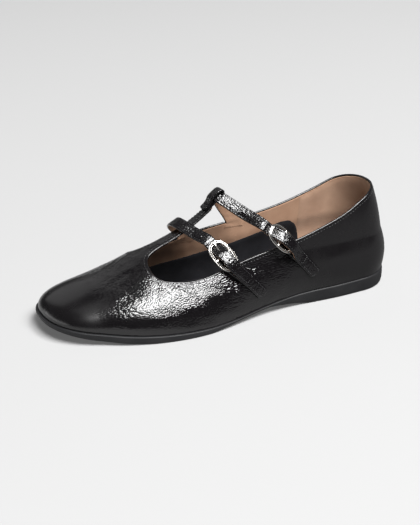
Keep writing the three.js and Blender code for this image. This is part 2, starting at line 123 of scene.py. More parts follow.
def column(rows: Array, index: int) -> Callable[[Array], Array]:
    """A smooth curve through one column of a table whose first column is u.

    Each span is a cubic with the slopes of its two ends, where a slope is the
    neighbouring spans' slopes weighed by the other span's length.

    Args:
        rows: the table.
        index: which column to follow.

    Returns:
        A function of an array of u.
    """
    at, values = rows[:, 0], rows[:, index]
    h = np.diff(at)
    slope = np.diff(values) / h
    tangent = np.concatenate([slope[:1], slope, slope[-1:]])[: len(at)]
    tangent[-1] = slope[-1]
    tangent[1:-1] = (slope[:-1] * h[1:] + slope[1:] * h[:-1]) / (h[1:] + h[:-1])

    def curve(u: Array) -> Array:
        """The cubic of the span that holds u."""
        i = np.clip(np.searchsorted(at, u) - 1, 0, len(h) - 1)
        t = (u - at[i]) / h[i]
        return (
            (1 + 2 * t) * (1 - t) ** 2 * values[i]
            + t * (1 - t) ** 2 * h[i] * tangent[i]
            + t * t * (3 - 2 * t) * values[i + 1]
            + t * t * (t - 1) * h[i] * tangent[i + 1]
        )

    return curve


def read_at(at: Array, knots: Array, values: Array) -> Array:
    """Values that go with knots, read on the straight lines between them."""
    return np.stack([np.interp(at, knots, c) for c in values.T], axis=-1)


def circle(count: int) -> Array:
    """Cosines and sines of that many even steps round a circle."""
    angle = np.linspace(0, 2 * math.pi, count, endpoint=False)
    return np.stack([np.cos(angle), np.sin(angle)])


def arc_length(path: Array) -> Array:
    """Distance along a path to each of its points."""
    steps = np.linalg.norm(np.diff(path, axis=0), axis=1)
    return np.concatenate([[0.0], np.cumsum(steps)])


def even(path: Array, spacing: float, extra: Array | None = None) -> tuple[Array, Array | None]:
    """A path read again at even distances.

    Args:
        path: points in order.
        spacing: the distance wanted between them.
        extra: values that go with the points.

    Returns:
        The new path, and the extra values at its points.
    """
    s = arc_length(path)
    at = np.linspace(0, s[-1], max(int(round(s[-1] / spacing)), 2) + 1)
    return read_at(at, s, path), None if extra is None else read_at(at, s, extra)


def blur(values: Array, width: int, closed: bool) -> Array:
    """Values along a path averaged with their neighbours, with a bell of that width."""
    weight = np.exp(-np.linspace(-2, 2, 2 * width + 1) ** 2)
    weight /= weight.sum()
    mode = "wrap" if closed else "edge"
    padded = np.pad(values, ((width, width), (0, 0)), mode=mode)
    return np.stack([np.convolve(c, weight, "valid") for c in padded.T], axis=-1)


def ripple(points: Array, seed: int, length: float, waves: int = 9) -> Array:
    """Soft waves in no fixed direction: a mean of sines of points dotted with vectors.

    Args:
        points: places in mm.
        seed: starts the random draw of directions and phases.
        length: the usual length of a wave.
        waves: how many are added.

    Returns:
        Values of about -1 to 1.
    """
    draw = np.random.default_rng(seed)
    turn = unit(draw.normal(size=(waves, 3))) * (2 * math.pi / length)
    turn *= draw.uniform(0.7, 1.4, size=(waves, 1))
    phase = draw.uniform(0, 2 * math.pi, waves)
    return np.sin(points @ turn.T + phase).mean(axis=-1) * 1.8


# ------------------------------------------------------------------ meshes
@dataclass
class Sheet:
    """A surface of corners and faces, with values that go with each corner."""

    points: Array
    faces: list[Array]
    values: dict[str, Array] = field(default_factory=dict)

    def triangles(self) -> Array:
        """All faces as triangles."""
        parts = [f if f.shape[1] == 3 else fan(f) for f in self.faces if len(f)]
        return np.concatenate(parts)

    def outward(self) -> list[Array]:
        """The faces, all turned over if the volume they enclose comes out negative."""
        a, b, c = (self.points[corner] for corner in self.triangles().T)
        volume = (a * np.cross(b, c)).sum()
        return [f[:, ::-1] if volume < 0 else f for f in self.faces if len(f)]


def fan(faces: Array) -> Array:
    """Faces of four corners cut in two."""
    return np.concatenate([faces[:, [0, 1, 2]], faces[:, [0, 2, 3]]])


def grid_faces(index: Array, closed: bool = False) -> Array:
    """The quads of a grid of corner numbers, closed across its second axis or not."""
    if closed:
        index = np.concatenate([index, index[:, :1]], axis=1)
    quads = np.stack([index[:-1, :-1], index[1:, :-1], index[1:, 1:], index[:-1, 1:]], axis=-1)
    return quads.reshape(-1, 4)


def tidy(faces: Array) -> Array:
    """Triangles of the quads, without the ones that have lost an edge."""
    tri = fan(faces) if faces.shape[1] == 4 else faces
    a, b, c = tri.T
    return tri[(a != b) & (b != c) & (a != c)]


def rim_edges(tri: Array) -> Array:
    """The directed edges that only one triangle has."""
    edges = np.concatenate([tri[:, [0, 1]], tri[:, [1, 2]], tri[:, [2, 0]]])
    size = int(tri.max()) + 1
    key, back = edges[:, 0] * size + edges[:, 1], edges[:, 1] * size + edges[:, 0]
    return edges[~np.isin(key, back)]


def shell(outer: Array, inner: Array, tri: Array) -> Sheet:
    """A closed wall between two surfaces with the same triangles."""
    count = len(outer)
    a, b = rim_edges(tri).T
    rim = np.stack([b, a, a + count, b + count], axis=-1)
    return Sheet(np.concatenate([outer, inner]), [tri, tri[:, ::-1] + count, rim])


def panel(outer: Array, inner: Array, flip: bool = False) -> Sheet:
    """A closed sheet between two grids of points, its faces turned over or not."""
    tri = tidy(grid_faces(np.arange(outer[..., 0].size).reshape(outer.shape[:2])))
    tri = tri[:, ::-1] if flip else tri
    return shell(outer.reshape(-1, 3), inner.reshape(-1, 3), tri)


def clip(lanes: Array, tri: Array, keep: Array) -> tuple[Array, Array]:
    """Cuts a surface along the line where keep is nought and leaves the part above it.

    A corner is added on each edge that the line crosses, at the share of the edge where
    keep is nought, and the triangles that it crosses are cut there.

    Args:
        lanes: every value of each corner, place included.
        tri: triangles.
        keep: above nought where the surface stays.

    Returns:
        The lanes and the triangles of what stays.
    """
    inside = keep[tri] > 0
    count = inside.sum(axis=1)
    whole = tri[count == 3]
    # Turn each cut triangle so that its odd corner out comes first.
    cut = tri[(count == 1) | (count == 2)]
    side = keep[cut] > 0
    single = side.sum(axis=1) == 1
    odd = np.where(single, side.argmax(axis=1), (~side).argmax(axis=1))
    cut = cut[np.arange(len(cut))[:, None], (odd[:, None] + np.arange(3)) % 3]
    a, b, c = cut.T
    pairs = np.sort(np.concatenate([np.stack([a, b], 1), np.stack([a, c], 1)]), axis=1)
    crossed, place = np.unique(pairs, axis=0, return_inverse=True)
    place = place.reshape(-1)
    k0, k1 = keep[crossed[:, 0]], keep[crossed[:, 1]]
    share = (k0 / (k0 - k1))[:, None]
    added = lanes[crossed[:, 0]] * (1 - share) + lanes[crossed[:, 1]] * share
    ab, ac = place[: len(cut)] + len(lanes), place[len(cut) :] + len(lanes)
    one = np.stack([a, ab, ac], axis=-1)[single]
    two = np.concatenate([np.stack([ab, b, c], axis=-1), np.stack([ab, c, ac], axis=-1)])
    two = two[np.tile(~single, 2)]
    tri = np.concatenate([whole, one, two])
    lanes = np.concatenate([lanes, added])
    used, tri = np.unique(tri, return_inverse=True)
    return lanes[used], tri.reshape(-1, 3)


def frames(path: Array, facing: Array, closed: bool = False) -> tuple[Array, Array, Array]:
    """Directions along, out of and across a path.

    Args:
        path: points in order.
        facing: roughly outwards at each.
        closed: whether the last point joins the first.

    Returns:
        Unit vectors d along, n outwards and w = n x d across.
    """
    if closed:
        along = np.roll(path, -1, axis=0) - np.roll(path, 1, axis=0)
    else:
        along = np.gradient(path, axis=0)
    d = unit(along)
    n = square(facing, d)
    return d, n, np.cross(n, d)


def sweep(path: Array, facing: Array, section: Array, closed: bool = False) -> Sheet:
    """A profile carried along a path: point + across * w + height * n.

    Args:
        path: points in order.
        facing: outwards at each.
        section: (across, height) round the profile, once for all or for each point.
        closed: whether the path joins itself.

    Returns:
        The tube, its ends closed, with a UV of mm along and mm round.
    """
    _, n, w = frames(path, facing, closed)
    if section.ndim == 2:
        section = np.broadcast_to(section, (len(path), *section.shape))
    ring = path[:, None] + section[..., :1] * w[:, None] + section[..., 1:] * n[:, None]
    rows, sides = ring.shape[:2]
    index = np.arange(rows * sides).reshape(rows, sides)
    u = np.broadcast_to(arc_length(path)[:, None], (rows, sides))
    uv = np.stack([u, section[..., 0]], axis=-1).reshape(-1, 2) / 1000
    if closed:
        quads = grid_faces(np.concatenate([index, index[:1]]), closed=True)
        return Sheet(ring.reshape(-1, 3), [quads], {"uv": uv})
    points = np.concatenate([ring.reshape(-1, 3), ring[[0, -1]].mean(axis=1)])
    uv = np.concatenate([uv, [[0, 0], [arc_length(path)[-1] / 1000, 0]]])
    quads = grid_faces(index, closed=True)
    turn = np.roll(np.arange(sides), -1)
    first, final = index[0], index[-1]
    hub = np.full(sides, rows * sides)
    ends = np.concatenate(
        [np.stack([hub, first, first[turn]], -1), np.stack([hub + 1, final[turn], final], -1)]
    )
    return Sheet(points, [quads, ends], {"uv": uv})


def joined(parts: list[Sheet]) -> Sheet:
    """Several sheets as one."""
    start = np.cumsum([0] + [len(p.points) for p in parts])
    faces = [f + s for p, s in zip(parts, start) for f in p.faces if len(f)]
    values = {
        k: np.concatenate([p.values[k] for p in parts])
        for k in parts[0].values
        if all(k in p.values for p in parts)
    }
    return Sheet(np.concatenate([p.points for p in parts]), faces, values)


def strap_section(
    half: float, low: float, high: float, crown: float = 0.0, groove: float = 0.0
) -> Array:
    """The profile of a leather strip with round edges.

    The top runs flat with a low crown, and dips a little where a stitch row lies,
    1.4 mm in from each edge. The edges are half circles.

    Args:
        half: half its width.
        low: height of its underside.
        high: height of its top.
        crown: how much the middle of the top rises.
        groove: depth of the dip at the stitch rows.

    Returns:
        (across, height) round the profile, from one edge over the top and back.
    """
    r = (high - low) / 2
    flat = np.linspace(half - r, r - half, 27)
    rise = crown * (1 - (flat / half) ** 2)
    dip = groove * hump(np.abs(flat), half - 1.4, 0.32)
    top = np.column_stack([flat, high + rise - dip])
    angle = np.linspace(math.pi / 2, 3 * math.pi / 2, 9)[1:-1]
    left = np.column_stack([r - half + r * np.cos(angle), (low + high) / 2 + r * np.sin(angle)])
    under = np.column_stack([np.linspace(r - half, half - r, 9), np.full(9, low)])
    right = left[::-1] * [-1, 1]
    return np.concatenate([top, left, under, right])


def waved(sheet: Sheet, facing: Array, height: float, seed: int, length: float) -> Sheet:
    """A swept sheet with small waves in it, as leather has.

    Args:
        sheet: what sweep made of a path that doesn't join itself.
        facing: outwards at each point of the path.
        height: of the waves.
        seed: of the waves.
        length: of the waves.

    Returns:
        The same sheet.
    """
    sides = (len(sheet.points) - 2) // len(facing)
    out = np.concatenate([np.repeat(facing, sides, axis=0), facing[[0, -1]]])
    sheet.points = sheet.points + out * height * ripple(sheet.points, seed, length)[:, None]
    return sheet


def tapered(section: Array, rows: int, start: float, end: float, spacing: float) -> Array:
    """A profile drawn in at a strip's two ends, over a quarter ellipse of its width.

    Args:
        section: the profile.
        rows: how many points the path has.
        start: length of the rounding at the first end, 0 for none.
        end: the same at the last end.
        spacing: distance between the path's points.

    Returns:
        One profile for each point.
    """
    s = np.arange(rows) * spacing
    size = np.ones(rows)
    for distance, length in ((s, start), (s[::-1], end)):
        if length:
            t = np.clip(1 - distance / length, 0, 0.995)
            size = np.minimum(size, np.sqrt(1 - t * t))
    middle = section.mean(axis=0)
    thick = np.clip(size * 3, 0.35, 1)
    scale = np.stack([size, thick], axis=-1)[:, None]
    return (section - middle)[None] * scale + middle


def flow(points: Array, steps: int) -> Array:
    """A curve through points whose bends stay tight where they lie close together.

    Each span is the cubic of a centripetal Catmull-Rom curve, whose knots are apart by
    the square root of the distance between the points.

    Args:
        points: places in order.
        steps: how many steps each span is cut in.

    Returns:
        Points of the curve.
    """
    ends = [2 * points[0] - points[1], 2 * points[-1] - points[-2]]
    p = np.concatenate([ends[:1], points, ends[1:]])
    gap = np.sqrt(np.maximum(np.linalg.norm(np.diff(p, axis=0), axis=1), 1e-6))[:, None]
    p0, p1, p2, p3 = p[:-3], p[1:-2], p[2:-1], p[3:]
    g0, g1, g2 = gap[:-2], gap[1:-1], gap[2:]
    leave = ((p1 - p0) / g0 - (p2 - p0) / (g0 + g1) + (p2 - p1) / g1) * g1
    reach = ((p2 - p1) / g1 - (p3 - p1) / (g1 + g2) + (p3 - p2) / g2) * g1
    t = (np.arange(steps) / steps)[None, :, None]
    p1, p2, leave, reach = (v[:, None] for v in (p1, p2, leave, reach))
    spans = p1 + leave * t + (3 * (p2 - p1) - 2 * leave - reach) * t**2
    spans = spans + (2 * (p1 - p2) + leave + reach) * t**3
    return np.concatenate([spans.reshape(-1, 3), points[-1:]])


def between(values: Array, steps: int) -> Array:
    """Values on straight lines between stations, to go with flow."""
    spans = len(values) - 1
    return read_at(np.linspace(0, spans, spans * steps + 1), np.arange(spans + 1), values)


def mirror_of(count: int) -> Array:
    """For places numbered once round from the heel, the number of the one across."""
    return (count - np.arange(count)) % count


def folded(rings: list[Array]) -> Sheet:
    """A closed form of rings whose first and last are each folded flat on themselves.

    Args:
        rings: points once round the outline from the heel; ring 0 and the last one have
            the same places on both sides of their line.

    Returns:
        The closed sheet.
    """
    points = np.stack(rings)
    mirror = mirror_of(points.shape[1])
    index = np.arange(points[..., 0].size).reshape(points.shape[:2])
    for row in (0, -1):
        index[row] = np.minimum(index[row], index[row][mirror])
    tri = tidy(grid_faces(index, closed=True))
    return Sheet(points.reshape(-1, 3), [tri])


def stitches(places: Array, along: Array, out: Array, length: float, radius: float) -> Sheet:
    """Rows of thread, each stitch a small pill half sunk in the leather.

    Args:
        places: the middle of each stitch, on the surface.
        along: which way each runs.
        out: outwards at each.
        length: of a stitch.
        radius: of the thread.

    Returns:
        All the stitches as one sheet.
    """
    rise = np.array([-1, -0.8, 0, 0.8, 1]) * length / 2
    wide = np.array([0.12, 0.8, 1, 0.8, 0.12]) * radius
    rings, sides = len(rise), 6
    angle = np.linspace(0, 2 * math.pi, sides, endpoint=False)[None, None, :, None]
    d = unit(along)
    n = square(out, d)
    w = np.cross(n, d)
    rise, wide = (v[None, :, None, None] for v in (rise, wide))
    d, n, w, middle = (v[:, None, None] for v in (d, n, w, places))
    arch = n * (radius * 0.55 * (1 - (rise / rise.max()) ** 2))
    ring = (w * np.sin(angle) + n * np.cos(angle)) * wide
    points = middle + d * rise + arch + ring
    one = np.arange(rings * sides).reshape(rings, sides)
    # Two quads close each end.
    first = np.array([[0, 5, 4, 3], [0, 3, 2, 1]])
    final = np.array([[0, 1, 2, 3], [0, 3, 4, 5]]) + one[-1, 0]
    faces = np.concatenate([grid_faces(one, closed=True)[:, ::-1], first, final])
    faces = (faces[None] + one.size * np.arange(len(places))[:, None, None]).reshape(-1, 4)
    return Sheet(points.reshape(-1, 3), [faces])


def seated(places: Array, surface: Array, normals: Array) -> Array:
    """Places moved along the nearest surface normal until they lie on the surface."""
    groups = np.array_split(places, max(len(places) // 24, 1))
    nearest = [((surface[None] - g[:, None]) ** 2).sum(-1).argmin(axis=1) for g in groups]
    near = np.concatenate(nearest)
    off = ((places - surface[near]) * normals[near]).sum(-1, keepdims=True)
    return places - off * normals[near]


# ------------------------------------------------------------------ materials
class Nodes:
    """Adds shader nodes to a tree in one line each."""

    def __init__(self, tree: bpy.types.NodeTree) -> None:
        """Args: tree: where the nodes go."""
        self.tree = tree

    def wire(self, node: bpy.types.Node, links: dict) -> None:
        """Sets a node's inputs, each to another node's socket or to a value."""
        for name, value in links.items():
            if isinstance(value, bpy.types.NodeSocket):
                self.tree.links.new(value, node.inputs[name])
            else:
                node.inputs[name].default_value = value

    def add(self, kind: str, links: dict | None = None, **props: object) -> bpy.types.Node:
        """Adds a node.

        Args:
            kind: its type without the ShaderNode prefix.
            links: input name or number to a socket or a value.
            props: its own settings.

        Returns:
            The node.
        """
        node = self.tree.nodes.new(kind if kind.startswith("Node") else "ShaderNode" + kind)
        for name, value in props.items():
            setattr(node, name, value)
        self.wire(node, links or {})
        return node

    def math(self, what: str, a: object, b: object = 0.0, c: object = 0.0) -> Socket:
        """One step of arithmetic on sockets or numbers."""
        return self.add("Math", {0: a, 1: b, 2: c}, operation=what).outputs[0]

    def vector(self, what: str, a: object, b: object) -> Socket:
        """One step of arithmetic on vectors."""
        return self.add("VectorMath", {0: a, 1: b}, operation=what).outputs[0]

    def remap(self, value: Socket, source: Span, target: Span) -> Socket:
        """A value carried from one span of numbers to another, and held within it."""
        return self.add("MapRange", dict(enumerate((value, *source, *target)))).outputs[0]

    def bump(self, height: Socket, distance: float) -> Socket:
        """A normal bent by a height of 0 to 1 that stands for a distance in mm."""
        links = {"Height": height, "Strength": 1.0, "Distance": distance / 1000}
        return self.add("Bump", links).outputs[0]

    def group(self, tree: bpy.types.NodeTree, links: dict) -> object:
        """Places a node group with its inputs set, and gives its outputs."""
        return self.add("Group", links, node_tree=tree).outputs


def new_group(
    name: str, inputs: dict[str, tuple[str, object]], outputs: dict[str, str]
) -> tuple[bpy.types.NodeTree, bpy.types.Node, bpy.types.Node, Nodes]:
    """Starts a shader node group with named sockets.

    Args:
        name: the group's name.
        inputs: name to (kind of socket, default).
        outputs: name to kind of socket.

    Returns:
        The tree, its input and output nodes, and a helper that adds nodes to it.
    """
    tree = bpy.data.node_groups.new(name, "ShaderNodeTree")
    for label, (kind, default) in inputs.items():
        socket = tree.interface.new_socket(label, in_out="INPUT", socket_type="NodeSocket" + kind)
        if default is not None:
            socket.default_value = default
    for label, kind in outputs.items():
        tree.interface.new_socket(label, in_out="OUTPUT", socket_type="NodeSocket" + kind)
    nodes = Nodes(tree)
    return tree, nodes.add("NodeGroupInput"), nodes.add("NodeGroupOutput"), nodes


def crease_group() -> bpy.types.NodeTree:
    """Fine creases of crinkled patent leather, as a height.

    Long narrow cells lie close together with sharp valleys between them. One set runs
    along the Y axis of the vector, one down a slope between X and -Z, and one set is
    of short pebbles. Their shares are inputs, and slow waves bend all three.
    """
    tree, given, out, n = new_group(
        "Creases",
        {
            "Vector": ("Vector", None),
            "Along": ("Float", 1.0),
            "Down": ("Float", 0.0),
            "Pebble": ("Float", 0.0),
            "Width": ("Float", 1.2),
            "Length": ("Float", 3.4),
        },
        {"Height": "Float", "Wear": "Float"},
    )
    vector = given.outputs["Vector"]
    bend = n.add("TexNoise", {"Vector": vector, "Scale": 160.0, "Detail": 1.0})
    shift = n.vector("SUBTRACT", bend.outputs["Color"], (0.5, 0.5, 0.5))
    small = n.add("VectorMath", {0: shift, "Scale": 0.001}, operation="SCALE")
    warped = n.vector("ADD", vector, small.outputs[0])
    narrow = n.math("DIVIDE", 1000.0, given.outputs["Width"])
    long = n.math("DIVIDE", 1000.0, given.outputs["Length"])

    def cells(place: Socket, scale: tuple[Socket, Socket, Socket], blend: float) -> Socket:
        """Cells of that size: their middles high, their borders low."""
        size = n.add("CombineXYZ", dict(enumerate(scale)))
        placed = n.vector("MULTIPLY", place, size.outputs[0])
        made = n.add(
            "TexVoronoi",
            {"Vector": placed, "Scale": 1.0, "Smoothness": blend, "Randomness": 0.9},
            feature="SMOOTH_F1",
        )
        return n.math("SUBTRACT", 1.0, made.outputs["Distance"])

    along = cells(warped, (narrow, long, narrow), 0.14)
    tilt = n.add("VectorRotate", {"Vector": warped, "Angle": 0.72}, rotation_type="Y_AXIS")
    down = cells(tilt.outputs[0], (long, narrow, narrow), 0.14)
    pebble = cells(warped, (narrow, narrow, narrow), 0.35)
    total = n.math("MULTIPLY", along, given.outputs["Along"])
    total = n.math("MULTIPLY_ADD", down, given.outputs["Down"], total)
    total = n.math("MULTIPLY_ADD", pebble, given.outputs["Pebble"], total)
    cloud = n.add("TexNoise", {"Vector": vector, "Scale": 55.0, "Detail": 3.0})
    n.wire(out, {"Height": total, "Wear": cloud.outputs["Fac"]})
    return tree


def grain_group() -> bpy.types.NodeTree:
    """Fine grain and slow mottling, for lining, sock, thread and rubber."""
    tree, given, out, n = new_group(
        "Grain",
        {"Vector": ("Vector", None), "Grain Size": ("Float", 0.5), "Cloud Size": ("Float", 14.0)},
        {"Height": "Float", "Cloud": "Float", "Speck": "Float"},
    )
    vector = given.outputs["Vector"]
    fine = n.math("DIVIDE", 1000.0, given.outputs["Grain Size"])
    slow = n.math("DIVIDE", 1000.0, given.outputs["Cloud Size"])
    links = {"Vector": vector, "Scale": fine, "Smoothness": 0.4}
    cell = n.add("TexVoronoi", links, feature="SMOOTH_F1")
    speck = n.add("TexNoise", {"Vector": vector, "Scale": fine, "Detail": 2.0})
    cloud = n.add("TexNoise", {"Vector": vector, "Scale": slow, "Detail": 4.0})
    height = n.math("SUBTRACT", 1.0, cell.outputs["Distance"])
    noise = {"Cloud": cloud.outputs["Fac"], "Speck": speck.outputs["Fac"]}
    n.wire(out, {"Height": height} | noise)
    return tree


def plain_material(
    name: str,
) -> tuple[bpy.types.Material, Nodes, bpy.types.Node, object]:
    """A material with an empty Principled shader.

    Returns:
        The material, a helper, the shader and the outputs of its coordinates.
    """
    material = bpy.data.materials.new(name)
    material.use_nodes = True
    nodes = Nodes(material.node_tree)
    shader = material.node_tree.nodes["Principled BSDF"]
    return material, nodes, shader, nodes.add("TexCoord").outputs


@dataclass(frozen=True)
class PatentFinish:
    """Black patent leather, crinkled more or less from place to place."""

    name: str = "patent_leather"
    way: Way = Way.SURFACE
    color: Triple = (0.0035, 0.003, 0.0035)
    roughness: float = 0.12
    height: float = 0.27
    width: float = 0.98
    length: float = 3.2
    satin: float = 1.9  # how much rougher it is where it has no creases

    def build(self, creases: bpy.types.NodeTree) -> bpy.types.Material:
        """Makes the material.

        Args:
            creases: the shared crease group.

        Returns:
            The material. Its creases read the corner values "crinkle" where they follow
            the surface, and the UV map on a strap.
        """
        material, n, shader, place = plain_material(self.name)
        shares = {"Width": self.width, "Length": self.length}
        if self.way is Way.SURFACE:
            given = n.add("Attribute", attribute_name="crinkle")
            split = n.add("SeparateXYZ", {0: given.outputs["Vector"]}).outputs
            shares |= {"Vector": place["Object"], "Along": split[0]}
            shares |= {"Down": split[1], "Pebble": split[2]}
        else:
            shares |= {"Vector": place["UV"], "Along": 0.75, "Pebble": 0.35}
        made = n.group(creases, shares)
        wear = n.remap(made["Wear"], (0.3, 0.7), (0.8, 1.35))
        rough = n.math("MULTIPLY", wear, self.roughness)
        if self.way is Way.SURFACE:
            creased = n.math("ADD", split[0], split[1])
            satin = n.remap(creased, (0.0, 0.8), (self.satin, 1.0))
            rough = n.math("MULTIPLY", rough, satin)
        bent = n.bump(made["Height"], self.height)
        n.wire(shader, {"Normal": bent, "Roughness": rough, "IOR": 1.6})
        n.wire(shader, {"Base Color": (*self.color, 1)})
        return material


@dataclass(frozen=True)
class GrainFinish:
    """A matt finish with fine grain and slow mottling between two colours."""

    name: str
    dark: Triple
    light: Triple
    roughness: float
    bump: float = 0.05
    grain: float = 0.5
    cloud: float = 14.0
    sheen: float = 0.0
    gloss: float = 0.5

    def build(self, grain: bpy.types.NodeTree) -> bpy.types.Material:
        """Makes the material with the shared grain group.

        Args:
            grain: the shared grain group.

        Returns:
            The material.
        """
        material, n, shader, place = plain_material(self.name)
        sizes = {"Grain Size": self.grain, "Cloud Size": self.cloud}
        made = n.group(grain, {"Vector": place["Object"]} | sizes)
        mixed = n.math("MULTIPLY_ADD", made["Speck"], 0.35, made["Cloud"])
        share = n.remap(mixed, (0.5, 0.85), (0.0, 1.0))
        color = n.add("ValToRGB", {0: share})
        for stop, tone in zip(color.color_ramp.elements, (self.dark, self.light)):
            stop.color = (*tone, 1)
        limits = (self.roughness - 0.06, self.roughness + 0.06)
        rough = n.remap(made["Speck"], (0.3, 0.7), limits)
        bent = n.bump(made["Height"], self.bump)
        n.wire(shader, {"Base Color": color.outputs[0], "Roughness": rough, "Normal": bent})
        n.wire(shader, {"Sheen Weight": self.sheen, "Specular IOR Level": self.gloss})
        return material


@dataclass(frozen=True)
class MetalFinish:
    """Polished silver-coloured metal with faint rubbing marks."""

    name: str = "buckle_metal"
    color: Triple = (0.68, 0.66, 0.63)
    roughness: float = 0.17

    def build(self, grain: bpy.types.NodeTree) -> bpy.types.Material:
        """Makes the material.

        Args:
            grain: the shared grain group.

        Returns:
            The material.
        """
        material, n, shader, place = plain_material(self.name)
        sizes = {"Grain Size": 0.25, "Cloud Size": 4.0}
        made = n.group(grain, {"Vector": place["Object"]} | sizes)
        limits = (self.roughness * 0.7, self.roughness * 1.4)
        rough = n.remap(made["Cloud"], (0.3, 0.7), limits)
        bent = n.bump(made["Speck"], 0.004)
        n.wire(shader, {"Roughness": rough, "Normal": bent, "Metallic": 1.0})
        n.wire(shader, {"Base Color": (*self.color, 1)})
        return material


@dataclass
class Finishes:
    """Every material of the shoe, built once."""

    patent: bpy.types.Material
    strap: bpy.types.Material
    lining: bpy.types.Material
    grip: bpy.types.Material
    sock: bpy.types.Material
    rubber: bpy.types.Material
    metal: bpy.types.Material
    thread: bpy.types.Material

    @classmethod
    def build(cls) -> "Finishes":
        """Makes the node groups and the materials."""
        creases, grain = crease_group(), grain_group()
        strap = PatentFinish("strap_patent", Way.ALONG_UV, width=1.3, length=0.8)
        made = {"patent": PatentFinish().build(creases), "strap": strap.build(creases)}
        # The dark and the light colour of each matt finish.
        tan = ((0.33, 0.19, 0.122), (0.43, 0.265, 0.175))
        pale = ((0.36, 0.215, 0.14), (0.46, 0.29, 0.195))
        sock = ((0.008, 0.008, 0.0095), (0.015, 0.015, 0.0175))
        rubber = ((0.008, 0.008, 0.009), (0.014, 0.014, 0.015))
        thread = ((0.008, 0.008, 0.009), (0.03, 0.03, 0.032))
        # name, dark, light, roughness, bump, grain size, cloud size, sheen, gloss
        matt = {
            "lining": GrainFinish("lining_leather", *tan, 0.62, 0.03, 0.4, 22.0),
            "grip": GrainFinish("heel_grip_leather", *pale, 0.8, 0.05, 0.35, 18.0, 0.1),
            "sock": GrainFinish("sock_leather", *sock, 0.56, 0.06, 0.7, 12.0, 0.0, 0.25),
            "rubber": GrainFinish("sole_rubber", *rubber, 0.5, 0.04, 0.45, 16.0, 0.0, 0.3),
            "metal": MetalFinish(),
            "thread": GrainFinish("black_thread", *thread, 0.45, 0.05, 0.2, 3.0),
        }
        return cls(**made, **{name: finish.build(grain) for name, finish in matt.items()})


def add_piece(
    name: str,
    sheet: Sheet,
    material: bpy.types.Material,
    replaces: str | None = None,
) -> bpy.types.Object:
    """Puts a sheet into the scene as a piece of the shoe.

    Args:
        name: the piece's name.
        sheet: its corners in mm in the last's axes, its faces and corner values.
        material: its finish.
        replaces: the CAD node that it stands for.

    Returns:
        The object, riding on the root.
    """
    mesh = bpy.data.meshes.new(name)
    faces = sheet.outward()
    loops = np.concatenate([f.ravel() for f in faces])
    sizes = np.concatenate([np.full(len(f), f.shape[1]) for f in faces])

    def fill(target: object, label: str, values: Array, kind: type = np.float32) -> None:
        """Sets one property of every element at once."""
        target.foreach_set(label, values.astype(kind).ravel())

    mesh.vertices.add(len(sheet.points))
    fill(mesh.vertices, "co", (sheet.points + SHIFT) / 1000)
    mesh.loops.add(len(loops))
    fill(mesh.loops, "vertex_index", loops, np.int32)
    mesh.polygons.add(len(sizes))
    fill(mesh.polygons, "loop_start", np.cumsum(sizes) - sizes, np.int32)
    fill(mesh.polygons, "use_smooth", np.ones(len(sizes)), bool)
    if "uv" in sheet.values:
        fill(mesh.uv_layers.new(name="UVMap").data, "uv", sheet.values["uv"][loops])
    if "crinkle" in sheet.values:
        layer = mesh.attributes.new("crinkle", "FLOAT_VECTOR", "POINT")
        fill(layer.data, "vector", sheet.values["crinkle"])
    mesh.update(calc_edges=True)
    mesh.validate()
    mesh.set_sharp_from_angle(angle=SHARP)
    mesh.materials.append(material)
    piece = bpy.data.objects.new(name, mesh)
    bpy.context.scene.collection.objects.link(piece)
    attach(piece, "root")
    if replaces:
        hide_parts(replaces)
    LOG.info("%s: %d corners, %d faces", name, len(sheet.points), len(sizes))
    return piece


